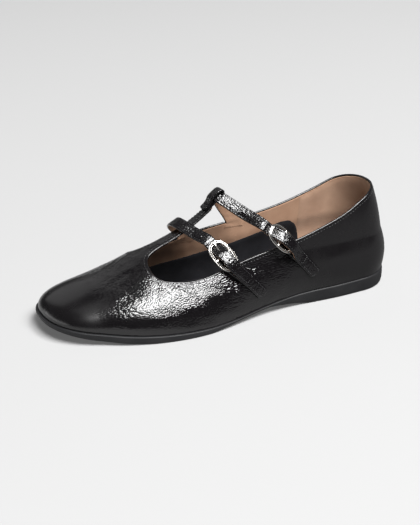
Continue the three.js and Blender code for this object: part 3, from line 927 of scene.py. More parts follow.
# ------------------------------------------------------------------ the last
@dataclass
class Last:
    """The foot form that the upper is pulled over."""

    # u, centre, half width, feather height, ridge height, ridge x, side power, rise power
    rows: Array = table(
        (0, 0, 27.6, 10.4, 96, 0, 2, 2), (25, 0, 28.1, 10.2, 97, -1, 2, 2),
        (45, 0.3, 28.6, 9.8, 97, -2.5, 2, 2), (80, 1.8, 26.3, 8.8, 94, -6, 2, 1.9),
        (110, 3.2, 28.2, 6.4, 84, -8.5, 1.95, 1.5),
        (127, 3, 31.8, 5, 71.5, -9, 1.9, 1.3),
        (140, 2.4, 34.8, 4.3, 62.5, -9, 1.9, 1.2),
        (152, 1.2, 37.6, 4.3, 55.8, -9, 1.9, 1.2),
        (165, -0.5, 39.6, 4.6, 50.3, -9.5, 1.9, 1.22),
        (185, -3.8, 40.2, 5.3, 43, -11.5, 2, 1.4),
        (205, -7.7, 37.9, 6.6, 33.2, -12.5, 2.1, 1.7),
        (225, -11.5, 32.2, 8.6, 27.2, -13.5, 2.2, 2),
        (249, -14.8, 27, 11.7, 25, -15, 2.4, 2.2),
    )
    toe: tuple[float, float] = (26.0, 2.45)  # reach and power of the round end
    heel: tuple[float, float] = (27.5, 2.1)
    crown: tuple[float, float, float] = (32.0, 214.0, 7.0)  # from, to, softness
    belly: tuple[float, float] = (2.0, 30.0)  # how far out, and up to what height

    def __post_init__(self) -> None:
        """Makes a smooth curve of each column."""
        names = ("centre", "half", "feather", "ridge", "ridge_x", "side", "rise")
        self.curve = {name: column(self.rows, k + 1) for k, name in enumerate(names)}

    def feather(self, u: Array) -> Array:
        """Height of the feather line at u."""
        return self.curve["feather"](np.clip(u, 0, LENGTH))

    def round_ends(self, u: Array) -> Array:
        """Share of the half width at u: (1 - (distance / reach)^power)^(1/power)."""

        def end(distance: Array, reach: float, power: float) -> Array:
            t = np.clip(distance / reach, 0, 1)
            return (1 - t**power) ** (1 / power)

        return end(u - (LENGTH - self.toe[0]), *self.toe) * end(self.heel[0] - u, *self.heel)

    @staticmethod
    def u_at(turn: Array) -> Array:
        """Distance from the back of the heel at a turn."""
        return LENGTH * (1 - np.cos(2 * math.pi * turn)) / 2

    def point(self, turn: Array, climb: Array) -> Array:
        """A place on the last.

        A section rises from the feather line to the ridge on a superellipse,
        out = cos(a)^(2/side) and up = sin(a)^(2/rise) with a a quarter turn of climb.
        Near the ends the ridge point stays at the crown, so the sections fan out, and a
        low belly pushes the wall out above the feather line.

        Args:
            turn: once round the outline, 0 at the heel, 0.5 at the toe.
            climb: 0 at the feather line, 1 at the ridge.

        Returns:
            Points in mm.
        """
        turn, climb = np.broadcast_arrays(np.asarray(turn, float), np.asarray(climb, float))
        turn = turn % 1.0
        u = self.u_at(turn)
        sign = np.where(turn <= 0.5, 1.0, -1.0)
        c = self.curve
        foot_x = c["centre"](u) + sign * c["half"](u) * self.round_ends(u)
        first, final, soft = self.crown
        crown_u = soft_min(soft_max(u, first, soft), final, soft)
        crown_x = c["ridge_x"](crown_u)
        angle = climb * math.pi / 2
        out = np.maximum(np.cos(angle), 0) ** (2 / c["side"](crown_u))
        up = np.sin(angle) ** (2 / c["rise"](crown_u))
        foot = c["feather"](u)
        along = crown_u + (u - crown_u) * out
        z = foot + (c["ridge"](np.clip(along, 0, LENGTH)) - foot) * up
        away = np.maximum(np.hypot(foot_x - crown_x, u - crown_u), 1e-6)
        reach, height = self.belly
        belly = reach * np.sin(math.pi * np.clip((z - foot) / height, 0, 1))
        x = crown_x + (foot_x - crown_x) * (out + belly / away)
        y = LENGTH / 2 - along - (u - crown_u) / away * belly
        return np.stack([x, y, z], axis=-1)

    def normal(self, turn: Array, climb: Array) -> Array:
        """Outwards from the last, from the differences to either side."""
        step = 0.004
        climb = np.clip(climb, 0, 0.985)
        along = self.point(turn + step, climb) - self.point(turn - step, climb)
        low, high = np.maximum(climb - step, 0), np.minimum(climb + step, 0.999)
        upward = self.point(turn, high) - self.point(turn, low)
        return unit(np.cross(upward, along))

    def at(self, turn: Array, climb: Array) -> tuple[Array, Array]:
        """Places on the last with their outward directions."""
        return self.point(turn, climb), self.normal(turn, climb)

    def turn_of(self, side: Side, u: Array) -> Array:
        """The turn at a distance u on one side."""
        turn = np.arccos(np.clip(1 - 2 * np.asarray(u, float) / LENGTH, -1, 1)) / (2 * math.pi)
        return turn if side is Side.LATERAL else 1 - turn

    def turns(self, rows: int) -> Array:
        """Turns from heel to toe, evenly spaced along the outline."""
        fine = np.linspace(0, 0.5, 4001)
        outline = (self.point(fine, 0.0) + self.point(1 - fine, 0.0) * [-1, 1, 1]) / 2
        s = arc_length(outline)
        return np.interp(np.linspace(0, s[-1], rows + 1), s, fine)

    def outline(self, rows: int) -> tuple[Array, Array, Array]:
        """Turns once round from the heel, the u of each, and the number of its mirror."""
        half = self.turns(rows)
        turn = np.concatenate([half, 1 - half[-2:0:-1]])
        return turn, self.u_at(turn), mirror_of(len(turn))

    def climb_to(self, turn: Array, level: Callable[[Array], Array]) -> Array:
        """The climb where level(point) changes from below nought to above, by halving."""
        low, high = np.zeros_like(turn, dtype=float), np.ones_like(turn, dtype=float)
        for _ in range(HALVINGS):
            middle = (low + high) / 2
            under = level(self.point(turn, middle)) < 0
            low, high = np.where(under, middle, low), np.where(under, high, middle)
        return low

    def on_wall(self, side: Side, u: Array, z: Array, inset: float = 0.0) -> tuple[Array, Array]:
        """Places on the side wall at given u and height, and their outward directions."""
        turn = np.atleast_1d(self.turn_of(side, u))
        z = np.broadcast_to(z, turn.shape)
        climb = self.climb_to(turn, lambda p: p[..., 2] - z)
        n = self.normal(turn, climb)
        return self.point(turn, climb) - inset * n, n


def u_of(points: Array) -> Array:
    """Distance from the back of the heel of each point."""
    return LENGTH / 2 - points[..., 1]


# ------------------------------------------------------------------ upper
@dataclass
class Upper:
    """The patent upper with its T-bar, its lining, its folded edge and its stitches."""

    last: Last
    finishes: Finishes
    # u, height on the outer side, height on the inner side
    topline: Array = table(
        (-6, 72, 72), (10, 71.6, 71.6), (24, 67, 68.4), (40, 59.4, 62),
        (56, 53.8, 57.2), (76, 47.8, 53.8), (96, 44, 51.4), (116, 40.4, 49),
        (134, 36, 46.6), (147, 33.4, 43.8), (160, 32.5, 41.4), (170, 33.3, 40.1),
        (176, 34.4, 39.6), (179.6, 36.3, 39.8), (181.2, 38.4, 40.2), (184.4, 44, 41.6),
    )
    bar_end: float = 128.6
    # u, x of the T-bar's outer edge
    outer_scoop: Array = table(
        (128.6, -5), (160, -4.3), (171, -4.1), (176.5, -2.4), (179.6, 0.4), (181.2, 4.2)
    )
    # u, x of the T-bar's inner edge
    inner_scoop: Array = table(
        (128.6, -12.8), (163, -13.5), (174, -13.9), (180, -15.6), (183, -18.2), (184.4, -22)
    )
    rows: int = 400
    levels: int = 84
    leather: float = 1.0
    edge_radius: tuple[float, float] = (0.78, 0.7)
    flare_past_throat: float = 8.0  # how fast the bar widens in front of the throat
    leather_trim: float = 0.35  # how far the leather stops short of the opening's line
    lining_trim: float = 0.6
    grip_end: float = 51.0  # u of the heel grip's ends
    stitch_inset: float = 1.75
    stitch_pitch: float = 2.3
    stitch_size: Span = (1.55, 0.2)  # length and radius

    def __post_init__(self) -> None:
        """Makes the curves of the opening."""
        scoops = (self.outer_scoop, self.inner_scoop)
        self.top = {side: column(self.topline, k) for side, k in zip(Side, (1, 2))}
        self.edge = {side: column(scoop, 1) for side, scoop in zip(Side, scoops)}

    def blank(self, rows: int, levels: int) -> tuple[Array, Array, Array, Array]:
        """The whole last as one folded grid, feather line to feather line.

        Args:
            rows: steps from heel to toe.
            levels: steps from each feather line to the ridge.

        Returns:
            Points, outward directions, the side of each point as a sign, and triangles.
        """
        turn = self.last.turns(rows)[:, None]
        climb = np.linspace(0, 1, levels + 1)[None]
        points = np.concatenate(
            [self.last.point(turn, climb), self.last.point(1 - turn, climb)[:, -2::-1]], axis=1
        )
        outer = self.last.normal(turn, climb)
        inner = self.last.normal(1 - turn, climb)
        outer[:, -1] = unit(outer[:, -1] + inner[:, -1])
        normals = np.concatenate([outer, inner[:, -2::-1]], axis=1)
        sign = np.ones(points.shape[:2])
        sign[:, levels + 1 :] = -1
        index = np.arange(points[..., 0].size).reshape(points.shape[:2])
        index[0, levels + 1 :] = index[0, levels - 1 :: -1]
        index[-1, levels + 1 :] = index[-1, levels - 1 :: -1]
        tri = tidy(grid_faces(index))
        return points.reshape(-1, 3), normals.reshape(-1, 3), sign.ravel(), tri

    def keep(self, points: Array, sign: Array) -> Array:
        """Above nought where the upper stays: below the top edge, or in the T-bar."""
        u, x, z = u_of(points), points[:, 0], points[:, 2]
        outer = sign > 0
        top = np.where(outer, self.top[Side.LATERAL](u), self.top[Side.MEDIAL](u))
        edges = [
            self.edge[side](np.clip(u, self.bar_end, front))
            + side.value * self.flare_past_throat * np.maximum(u - front, 0)
            for side, front in THROAT.items()
        ]
        bar = soft_min(edges[0] - x, x - edges[1], 0.15)
        bar = soft_min(bar, u - self.bar_end, 0.15)
        far = 60  # mm, enough to stand for anywhere else
        return soft_max(np.clip(top - z, -far, far), np.clip(bar, -far, far), 0.2)

    def edge_loop(self) -> tuple[Array, Array]:
        """The opening's edge as one closed path on the last.

        It runs from the heel along the outer top edge, round the throat, back along the
        T-bar, across its end, and home along the inner side in the same way.

        Returns:
            Points and outward directions, 1 mm apart.
        """
        paths, directions = [], []
        for side, front in THROAT.items():
            last, sign = self.last, side.value
            turn = np.linspace(0.0, float(last.turn_of(Side.LATERAL, front)), 900)
            wall = turn if side is Side.LATERAL else 1 - turn
            top = self.top[side]
            climb = last.climb_to(wall, lambda p: p[..., 2] - top(u_of(p)))
            points, normals = last.at(wall, climb)
            u = front - (front - self.bar_end) * np.linspace(0, 1, 300) ** 2
            bar_turn = last.turn_of(side, u)
            edge = self.edge[side]
            bar = last.climb_to(bar_turn, lambda p: sign * (edge(u_of(p)) - p[..., 0]))
            bar_points, bar_normals = last.at(bar_turn, bar)
            points = np.concatenate([points, bar_points])
            normals = np.concatenate([normals, bar_normals])
            order = slice(None) if side is Side.LATERAL else slice(None, None, -1)
            paths.append(points[order])
            directions.append(normals[order])
        path, facing = even(np.concatenate(paths), 1.0, np.concatenate(directions))
        path, facing = path[:-1], unit(facing[:-1])
        return blur(path, 2, True), unit(blur(facing, 4, True))

    def creases(self, points: Array, sign: Array) -> Array:
        """Height in mm of the larger creases over the smooth last.

        Soft troughs and ridges are placed one by one where the leather gathers: in front
        of the throat, out from it over the ball, and on the quarter behind. Each is a
        bell across its line, fading at both ends. Low ripples lie over all but the toe
        and the heel.
        """
        u, x, z = u_of(points), points[:, 0], points[:, 2]
        girth = np.where(sign > 0, 1.0, -1.0) * np.hypot(x - BAR_X, (z - GIRTH_Z) * 0.9)
        total = np.zeros(len(points))
        for u0, g0, u1, g1, width, height in CREASES:
            along, across = u1 - u0, g1 - g0
            size = math.hypot(along, across)
            s = ((u - u0) * along + (girth - g0) * across) / size
            off = (-(u - u0) * across + (girth - g0) * along) / size
            off = off + 0.7 * np.sin(s / 4.5 + u0)
            fade = ramp(s, -4, size * 0.3) * (1 - ramp(s, size * 0.7, size + 4))
            total += CREASE_SHARE * height * fade * hump(off, 0, width)
        soft = ramp(u, 56, 96) * (1 - ramp(u, 198, 226))
        return total + soft * 0.16 * ripple(points * [1, 0.45, 1], 3, 7.0)

    def crinkle(self, points: Array) -> Array:
        """Shares of the fine creases that run along, run down, and of pebbles."""
        u, x, z = u_of(points), points[:, 0], points[:, 2]
        outer = ramp(x, -6, 10)
        middle = ramp(u, 66, 104) * (1 - ramp(u, 206, 228))
        ball = outer * ramp(u, 128, 150) * (1 - ramp(u, 184, 200))
        low = 1 - 0.45 * (1 - ramp(z, 9, 20))
        patch = 0.8 + 0.3 * ripple(points, 11, 30.0)
        amount = middle * low * patch
        along = amount * (1 - 0.85 * ball)
        down = amount * ball
        pebble = amount * 0.18
        return np.stack([along, down, pebble], axis=-1)

    def build(self) -> None:
        """Makes the leather, its lining, its folded edge and its stitch row."""
        points, normals, sign, tri = self.blank(self.rows, self.levels)
        keep = self.keep(points, sign)
        raised = points + normals * self.creases(points, sign)[:, None]
        under = points - normals * self.leather
        crinkle = self.crinkle(points)
        stay = keep > 0.2
        surface, directions = raised[stay], normals[stay]
        lanes, tri = clip(np.column_stack([raised, under, crinkle]), tri, keep - self.leather_trim)
        leather = shell(lanes[:, :3], lanes[:, 3:6], tri)
        leather.values["crinkle"] = np.tile(lanes[:, 6:9], (2, 1))
        add_piece("upper_leather", leather, self.finishes.patent, "upper")

        points, normals, sign, tri = self.blank(self.rows // 2, self.levels // 2)
        keep = self.keep(points, sign)
        u = u_of(points)
        slack = 0.12 * ripple(points, 21, 16.0) + 0.16 * ripple(points * [1, 1.6, 0.5], 23, 9.0)
        slack *= ramp(u, 80, 110) * (1 - ramp(u, 190, 210))
        inner = points - normals * (INNER_FACE + slack)[:, None]
        top = points - normals * (self.leather + 0.04)
        lanes, tri = clip(np.column_stack([top, inner]), tri, keep - self.lining_trim)
        lining = shell(lanes[:, :3], lanes[:, 3:6], tri)
        add_piece("lining", lining, self.finishes.lining)
        self.build_grip()
        self.build_edge(surface, directions)

    def build_grip(self) -> None:
        """The heel grip: a thin soft layer inside the back, with a seam at each end."""
        last, reach = self.last, float(self.last.turn_of(Side.LATERAL, self.grip_end))
        turn = np.linspace(-reach, reach, 121)[:, None]
        share = np.linspace(0, 1, 25)[None]

        def over_top(p: Array) -> Array:
            """Height over a line a little below the top edge."""
            tops = self.top[Side.LATERAL](u_of(p)), self.top[Side.MEDIAL](u_of(p))
            return p[..., 2] - np.where(p[..., 0] > 0, *tops) + 1.3

        high = last.climb_to(turn[:, 0], over_top)[:, None]
        foot = 0.03
        points, normals = last.at(turn, foot + (high - foot) * share)
        # Pared thin over the last shares of its length and of its height.
        side, top = 0.04, 0.1
        edge = np.minimum(1 - np.abs(turn / reach), side) / side * np.minimum(1 - share, top) / top
        thick = 0.05 + 0.5 * np.sqrt(np.clip(edge, 0, 1))
        outer = points - normals * (WALL - 0.16)
        inner = points - normals * (INNER_FACE + thick)[..., None]
        add_piece("heel_grip", panel(outer, inner), self.finishes.grip)

    def build_edge(self, surface: Array, normals: Array) -> None:
        """Makes the folded top edge and the stitches below it.

        The fold stops where a strap grows out of the inner side.

        Args:
            surface: corners of the leather's outer face.
            normals: outward directions there.
        """
        path, facing = self.edge_loop()
        d, n, w = frames(path, facing, closed=True)
        across, high = self.edge_radius
        section = circle(14).T * [high, across]
        centre = path - n * (across - 0.06)
        u = u_of(path)
        root = np.zeros(len(path), dtype=bool)
        for at, flare in ROOTS:
            root |= (path[:, 0] < BAR_X - 5) & (np.abs(u - at) < flare / 2 - 0.6)
        beside = np.abs(path[:, 0] - BAR_X)
        under_loop = (np.abs(u - self.bar_end) < 1.5) & (beside < 6)
        gap = root | under_loop
        start = int(np.argmax(gap))
        order = np.roll(np.arange(len(path)), -start)
        runs = np.split(order, np.flatnonzero(np.diff(gap[order].astype(int))) + 1)
        beads = [sweep(centre[r], n[r], section) for r in runs if not gap[r[0]]]
        bead = joined(beads)
        bead.values = {"crinkle": np.tile([[0.12, 0.0, 0.1]], (len(bead.points), 1))}
        add_piece("folded_edge", bead, self.finishes.patent)
        row = path + w * self.stitch_inset
        row, extra = even(row, self.stitch_pitch, np.column_stack([d, n, gap]))
        sewn = extra[:, 6] < 0.01
        places = seated(row[sewn], surface, normals) - extra[sewn, 3:6] * 0.03
        thread = stitches(places, extra[sewn, :3], extra[sewn, 3:6], *self.stitch_size)
        add_piece("edge_stitches", thread, self.finishes.thread)


CREASE_SHARE = 0.6  # of the heights below
# u and girth from the ridge at both ends, half width, height
CREASES = [
    (188, 4, 214, 8, 1.6, -0.35),
    (186, -3, 212, -4, 1.7, -0.3),
    (190, 12, 212, 17, 1.5, -0.28),
    (187, 9, 206, 14, 1.6, 0.3),
    (188, -10, 208, -14, 1.6, -0.3),
    (178, 22, 186, 44, 1.8, -0.3),
    (172, 26, 175, 50, 1.8, -0.34),
    (166, 28, 164, 52, 1.8, 0.3),
    (160, 30, 154, 52, 1.9, -0.34),
    (152, 32, 143, 52, 1.9, 0.28),
    (142, 36, 130, 54, 2.0, -0.34),
    (132, 40, 119, 56, 2.0, -0.26),
    (118, 44, 102, 58, 2.2, -0.3),
    (100, 46, 86, 58, 2.4, -0.22),
    (176, -26, 184, -44, 1.8, -0.3),
    (164, -30, 168, -50, 1.9, -0.3),
    (150, -34, 148, -52, 2.0, -0.28),
    (128, -40, 118, -56, 2.2, -0.26),
]


@dataclass(frozen=True)
class Place:
    """A spot with directions along, out of and across it."""

    point: Array
    d: Array
    n: Array
    w: Array

    @classmethod
    def at(cls, point: Array, along: Array, facing: Array) -> "Place":
        """Squares facing to along and crosses the two."""
        d = unit(along)
        n = square(facing, d)
        return cls(point, d, n, np.cross(n, d))

    def spot(self, s: Array | float, across: Array | float, height: Array | float) -> Array:
        """Points at distances along, across and out."""
        s, across, height = np.broadcast_arrays(s, across, height)
        moves = ((s, self.d), (across, self.w), (height, self.n))
        return self.point + sum(far[..., None] * way for far, way in moves)


@dataclass(frozen=True)
class Route:
    """Where one strap runs. Spots are x, u, z or, on the quarter, u, z."""

    root: tuple[float, float]  # u and width of its root on the inner top edge
    shoulder: tuple[float, float, float]
    crest: tuple[float, float, float]
    tip_back: float  # how far the crest faces the toe
    span: tuple[float, float, float]
    buckle: tuple[float, float, float]  # u, z and height over the quarter
    facing: tuple[float, float, float]
    foot: tuple[float, float, float]  # u, z and lift
    tip: tuple[float, float]
    sewn: tuple[float, float]
    lean: float  # how far the span turns towards the toe


FRONT = Route(
    (141.5, 13.0),
    (-21.5, 150.0, 54.0),
    (-12.5, 152.6, 60.2),
    0.5,
    (3.5, 144.8, 55.8),
    (133.6, 44.2, 2.4),
    (0.8, -0.1, 0.6),
    (129.0, 36.8, 0.2),
    (118.0, 26.5),
    (109.0, 16.2),
    0.1,
)
REAR = Route(
    (105.0, 14.0),
    (-16.5, 117.5, 67.5),
    (-9.6, 124.2, 75.5),
    0.62,
    (7.0, 110.5, 65.6),
    (92.4, 50.6, 3.6),
    (0.78, 0.08, 0.6),
    (86.0, 43.4, 1.3),
    (76.0, 32.5),
    (67.0, 22.0),
    0.55,
)
ROOTS = (FRONT.root, REAR.root)


def here(x: float, u: float, z: float) -> Array:
    """A point of the last's axes from x, the distance from the heel, and height."""
    return np.array([x, LENGTH / 2 - u, z])


@dataclass
class Strap:
    """A strap with its buckle, its prong and the tab that holds them."""

    name: str
    route: Route
    upper: Upper
    spacing: float = 0.6  # of the profiles along a strip
    slope: float = 0.6  # more room where the strap climbs past a bar
    width: float = 8.6
    thickness: float = 1.8
    tab_thickness: float = 1.3
    buckle_size: tuple[float, float] = (22.6, 15.0)
    wire: float = 2.1
    bar: float = 1.8
    prong_wire: float = 1.3
    stitch_inset: float = 1.35
    stitch_pitch: float = 2.2

    def __post_init__(self) -> None:
        """Finds the buckle's place, then the stations of strap and tab."""
        r, last = self.route, self.upper.last
        on_tab = GAP + self.tab_thickness + GAP
        seat, out = last.on_wall(Side.LATERAL, r.buckle[0], r.buckle[1])
        centre = seat[0] + out[0] * r.buckle[2]
        foot, up = last.on_wall(Side.LATERAL, r.foot[0], r.foot[1])
        run = foot[0] + up[0] * (on_tab + self.wire / 2 + r.foot[2]) - centre
        self.seat = Place.at(centre, run, np.array(r.facing))
        self.half_open = (self.buckle_size[0] - self.wire) / 2
        self.strap_stations = self.strap_path(on_tab)
        self.tab_stations = self.tab_path()

    def quarter(
        self, start: tuple, end: tuple, share: list[float], height: float
    ) -> tuple[Array, Array]:
        """Points over the outer quarter between two of the route's spots."""
        u = start[0] + (end[0] - start[0]) * np.array(share)
        z = start[1] + (end[1] - start[1]) * np.array(share)
        return self.upper.last.on_wall(Side.LATERAL, u, z, inset=-height)

    def strap_path(self, on_tab: float) -> Strip:
        """Stations from the root over the crest and through the buckle to the tip.

        Args:
            on_tab: height of the strap's underside where it lies on the tab.

        Returns:
            Points, outward directions and widths.
        """
        r, b, half = self.route, self.seat, self.half_open
        under = self.wire / 2 + GAP + self.thickness / 2 + self.slope
        over = self.bar / 2 + GAP + self.thickness / 2 + self.slope
        top = self.upper.top[Side.MEDIAL](np.array([r.root[0]]))
        root, out = self.upper.last.on_wall(Side.MEDIAL, r.root[0], top - 4.5, inset=1.12)
        rise, _ = self.upper.last.on_wall(Side.MEDIAL, r.root[0], top + 0.5, inset=1.12)
        crest_n = unit(np.array([-0.12, -r.tip_back, 0.86]))
        end, end_n = self.quarter(r.foot, r.tip, [0.55, 1.0], on_tab + self.thickness / 2)
        end = end + end_n * [[0.5], [0.1]]
        points = np.array(
            [
                root[0],
                rise[0],
                here(*r.shoulder),
                here(*r.crest),
                here(*r.span),
                b.spot(-half - 4, 0.0, -under - 0.4),
                b.spot(-half, 0.0, -under),
                b.spot(0.0, 0.0, over),
                b.spot(half, 0.0, under),
                *end,
            ]
        )

        def mix(p: Array, q: Array, share: float) -> Array:
            """A direction between two."""
            return unit(p * (1 - share) + q * share)

        shoulder_n = mix(out[0], crest_n, 0.45)
        span_n = unit(mix(crest_n, b.n, 0.5) - [0.0, r.lean, 0.0])
        facing = [out[0], out[0], shoulder_n, crest_n, span_n, b.n, b.n, b.n, b.n]
        facing = np.array([*facing, *end_n])
        widths = np.full((len(points), 1), self.width)
        widths[:2, 0] = r.root[1] + 1.5, r.root[1] - 1
        return points, facing, widths

    def tab_path(self) -> Strip:
        """Stations of the tab, from under the centre bar to its sewn end."""
        r, b = self.route, self.seat
        under = self.wire / 2 + GAP + self.tab_thickness / 2
        height = GAP * 0.3 + self.tab_thickness / 2
        upper_end, n0 = self.quarter(r.foot, r.tip, [0.4, 0.7, 1.0], height)
        lower_end, n1 = self.quarter(r.tip, r.sewn, [0.5, 1.0], height)
        first = b.spot(np.array([-1.0, self.half_open]), 0.0, -under)
        points = np.concatenate([first, upper_end, lower_end])
        facing = np.concatenate([[b.n, b.n], n0, n1])
        return points, facing, np.full((len(points), 1), self.width)

    def strip(self, stations: Strip) -> Strip:
        """A smooth path through stations, with outward directions and widths on it."""
        points, facing, widths = stations
        extra = between(np.column_stack([facing, widths]), 16)
        path, extra = even(flow(points, 16), self.spacing, extra)
        return path, unit(blur(extra[:, :3], 4, False)), blur(extra[:, 3:], 6, False)[:, 0]

    def layer(self, strip: Strip, section: Array, rounding: float, seed: int) -> Sheet:
        """One layer of leather along a strip, with a round last end and small waves."""
        path, facing, widths = strip
        sections = tapered(section, len(path), 0.0, rounding, self.spacing)
        sections = sections * np.stack([widths / self.width, np.ones(len(path))], -1)[:, None]
        return waved(sweep(path, facing, sections), facing, 0.1, seed, 5.0)

    def build(self) -> None:
        """Makes the strap, its lining and stitches, the tab, the buckle and the prong."""
        f, half = self.upper.finishes, self.width / 2
        face, tab_face = self.thickness / 2, self.tab_thickness / 2
        strip, tab = self.strip(self.strap_stations), self.strip(self.tab_stations)
        top = self.layer(strip, strap_section(half, -0.3, face, 0.28, 0.1), 2.6, 31)
        self.add("strap_top", top, f.strap, "patent_leather", "strap")
        low = self.layer(strip, strap_section(half - 0.3, -face, -0.32), 2.4, 31)
        self.add("strap_lining", low, f.lining, "lining_leather")
        body = self.layer(tab, strap_section(half, -tab_face, tab_face, 0.25, 0.08), 2.4, 47)
        self.add("buckle_tab", body, f.strap, "patent_leather", "tab")
        self.build_stitches(strip, tab)
        self.build_buckle()
        self.build_prong()

    def add(
        self,
        label: str,
        sheet: Sheet,
        material: bpy.types.Material,
        slot: str,
        replaces: str | None = None,
    ) -> None:
        """Adds a piece whose names, its own and the CAD node's, start with the strap's."""
        node = f"{self.name}_{replaces}" if replaces else None
        add_piece(f"{self.name}_{label}", sheet, material, node)

    def build_stitches(self, strip: Strip, tab: Strip) -> None:
        """Rows of thread along both edges of the strap and round the tab's sewn end."""
        rows = []
        for (path, facing, widths), height, (skip, spare) in (
            (strip, self.thickness / 2 + 0.06, (9.0, 2.2)),
            (tab, self.tab_thickness / 2 + 0.03, (14.0, 1.8)),
        ):
            s = arc_length(path)
            at = np.arange(skip, s[-1] - spare, self.stitch_pitch)
            d, n, w = (read_at(at, s, v) for v in frames(path, facing))
            seat = read_at(at, s, path)
            inset = (np.interp(at, s, widths) / 2 - self.stitch_inset)[:, None]
            for side in (-1, 1):
                rows.append(stitches(seat + side * inset * w + height * n, d, n, 1.5, 0.19))
            across = np.linspace(-1, 1, 4)[:, None] * inset[-1] * 0.72
            end = seat[-1] + d[-1] * 0.9 + across * w[-1] + height * n[-1]
            turned, up = np.repeat(w[-1:], 4, axis=0), np.repeat(n[-1:], 4, axis=0)
            rows.append(stitches(end, turned, up, 1.4, 0.19))
        self.add("strap_stitches", joined(rows), self.upper.finishes.thread, "thread")

    def build_buckle(self) -> None:
        """The oval frame, a superellipse of power 2.7, with its centre bar.

        The frame's wire is nearly round, with a shallow groove along its face.
        """
        a, b = self.half_open, (self.buckle_size[1] - self.wire) / 2
        c, s = circle(180)
        power = 2 / 2.7
        x, y = np.sign(c) * a * np.abs(c) ** power, np.sign(s) * b * np.abs(s) ** power
        x, y = np.append(x, a), np.append(y, 0.0)
        path, _ = even(self.seat.spot(x, y, 0.0), 0.3)
        path = path[:-1]
        facing = np.tile(self.seat.n, (len(path), 1))
        ct, st = circle(24)
        r = self.wire / 2
        across = np.sign(ct) * np.abs(ct) ** 0.8 * r
        height = np.sign(st) * np.abs(st) ** 0.9 * r * 0.95
        height = height - 0.55 * hump(across, 0, 0.46) * (st > 0)
        ring = sweep(path, facing, np.column_stack([across, height]), closed=True)
        ends = self.seat.spot(0.0, np.linspace(-b, b, 5), 0.0)
        bar = sweep(ends, np.tile(self.seat.n, (5, 1)), circle(24).T * self.bar / 2)
        made = joined([Sheet(ring.points, ring.faces), Sheet(bar.points, bar.faces)])
        metal = self.upper.finishes.metal
        self.add("buckle_frame", made, metal, "buckle_metal", "buckle")

    def build_prong(self) -> None:
        """The prong: a tapered rod from the centre bar, up through the strap."""
        lift = self.wire / 2 + self.prong_wire / 2 + 0.1
        half = self.half_open
        s = np.array([-1.2, -0.45 * half, -0.8 * half, -half - 1.2])
        height = np.array([0.2, lift * 0.75, lift * 1.1, lift])
        path, _ = even(flow(self.seat.spot(s, 0.0, height), 12), 0.25)
        section = circle(16).T * self.prong_wire / 2
        s = arc_length(path)
        left = s[-1] - s
        round_tip = np.sqrt(np.clip(1 - np.clip(1 - left / 0.5, 0, 0.995) ** 2, 0, 1))
        size = (0.72 + 0.28 * np.clip(left / 8, 0, 1)) * round_tip
        rod = sweep(path, np.tile(self.seat.n, (len(path), 1)), section[None] * size[:, None, None])
        metal = self.upper.finishes.metal
        self.add("buckle_prong", rod, metal, "buckle_metal", "prong")


@dataclass
class Loop:
    """The T-bar's end, folded round the rear strap's crest and sewn down on the bar."""

    strap: Strap
    width: float = 8.2
    thickness: float = 1.3
    spacing: float = 0.4  # of the profiles along the band
    # distance towards the toe, height, and which way is out there
    run: Array = table(
        (10.5, -2.5, 0.0, -1.0), (6.0, -2.3, 0.0, -1.0), (0.0, -1.75, 0.0, -1.0),
        (-4.0, -1.55, -0.35, -0.94), (-5.35, 0.0, -1.0, 0.0), (-4.0, 1.75, -0.35, 0.94),
        (0.0, 2.05, 0.0, 1.0), (3.9, 1.6, 0.35, 0.94), (6.4, 0.2, 0.3, 0.95),
        (9.2, -0.5, 0.0, 1.0), (13.2, -0.62, 0.0, 1.0),
    )

    def build(self) -> None:
        """Makes the loop and its stitches.

        Its path lies in the plane of the bar: from inside the bar's end it goes under
        the strap, round its rear edge, over its top, and down onto the bar.
        """
        crest, normal = self.strap.strap_stations[0][3], self.strap.strap_stations[1][3]
        place = Place.at(crest, np.array([0.0, -1.0, -0.7]), normal)
        run = self.run
        points = place.spot(run[:, 0], 0.4, run[:, 1])
        facing = run[:, 2:3] * place.d + run[:, 3:4] * place.n
        path, extra = even(flow(points, 12), self.spacing, between(facing, 12))
        facing = unit(blur(extra, 3, False))
        half = self.thickness / 2
        section = strap_section(self.width / 2, -half, half, 0.14, 0.07)
        s = arc_length(path)
        slant = np.clip((s[-1] - s) / 2.2, 0, 1)[:, None]
        sections = tapered(section, len(path), 0.0, 1.6, self.spacing)
        sections[..., 0] = np.minimum(sections[..., 0], 4.1 - 3.2 * (1 - slant) ** 1.5)
        band = waved(sweep(path, facing, sections), facing, 0.09, 53, 4.0)
        finishes = self.strap.upper.finishes
        add_piece("bar_loop", band, finishes.strap, "t_bar_loop")
        d, n, w = frames(path, facing)
        at = np.arange(s[-1] - 9.5, s[-1] - 1.5, 1.9)
        seat, along, out, wide = (read_at(at, s, v) for v in (path, d, n, w))
        height = half + 0.08
        lines = [seat + x * wide + height * out for x in (-2.8, 2.7)]
        rows = [stitches(line, along, out, 1.35, 0.18) for line in lines]
        cross = np.linspace(-2.0, 1.6, 3)[:, None]
        for back, skew in ((2.0, 0.35), (8.6, 0.0)):
            k = int(np.searchsorted(s, s[-1] - back))
            spots = path[k] + cross * w[k] + height * n[k] + cross * d[k] * skew
            rows.append(stitches(spots, np.tile(w[k], (3, 1)), np.tile(n[k], (3, 1)), 1.3, 0.18))
        add_piece("bar_loop_stitches", joined(rows), finishes.thread)


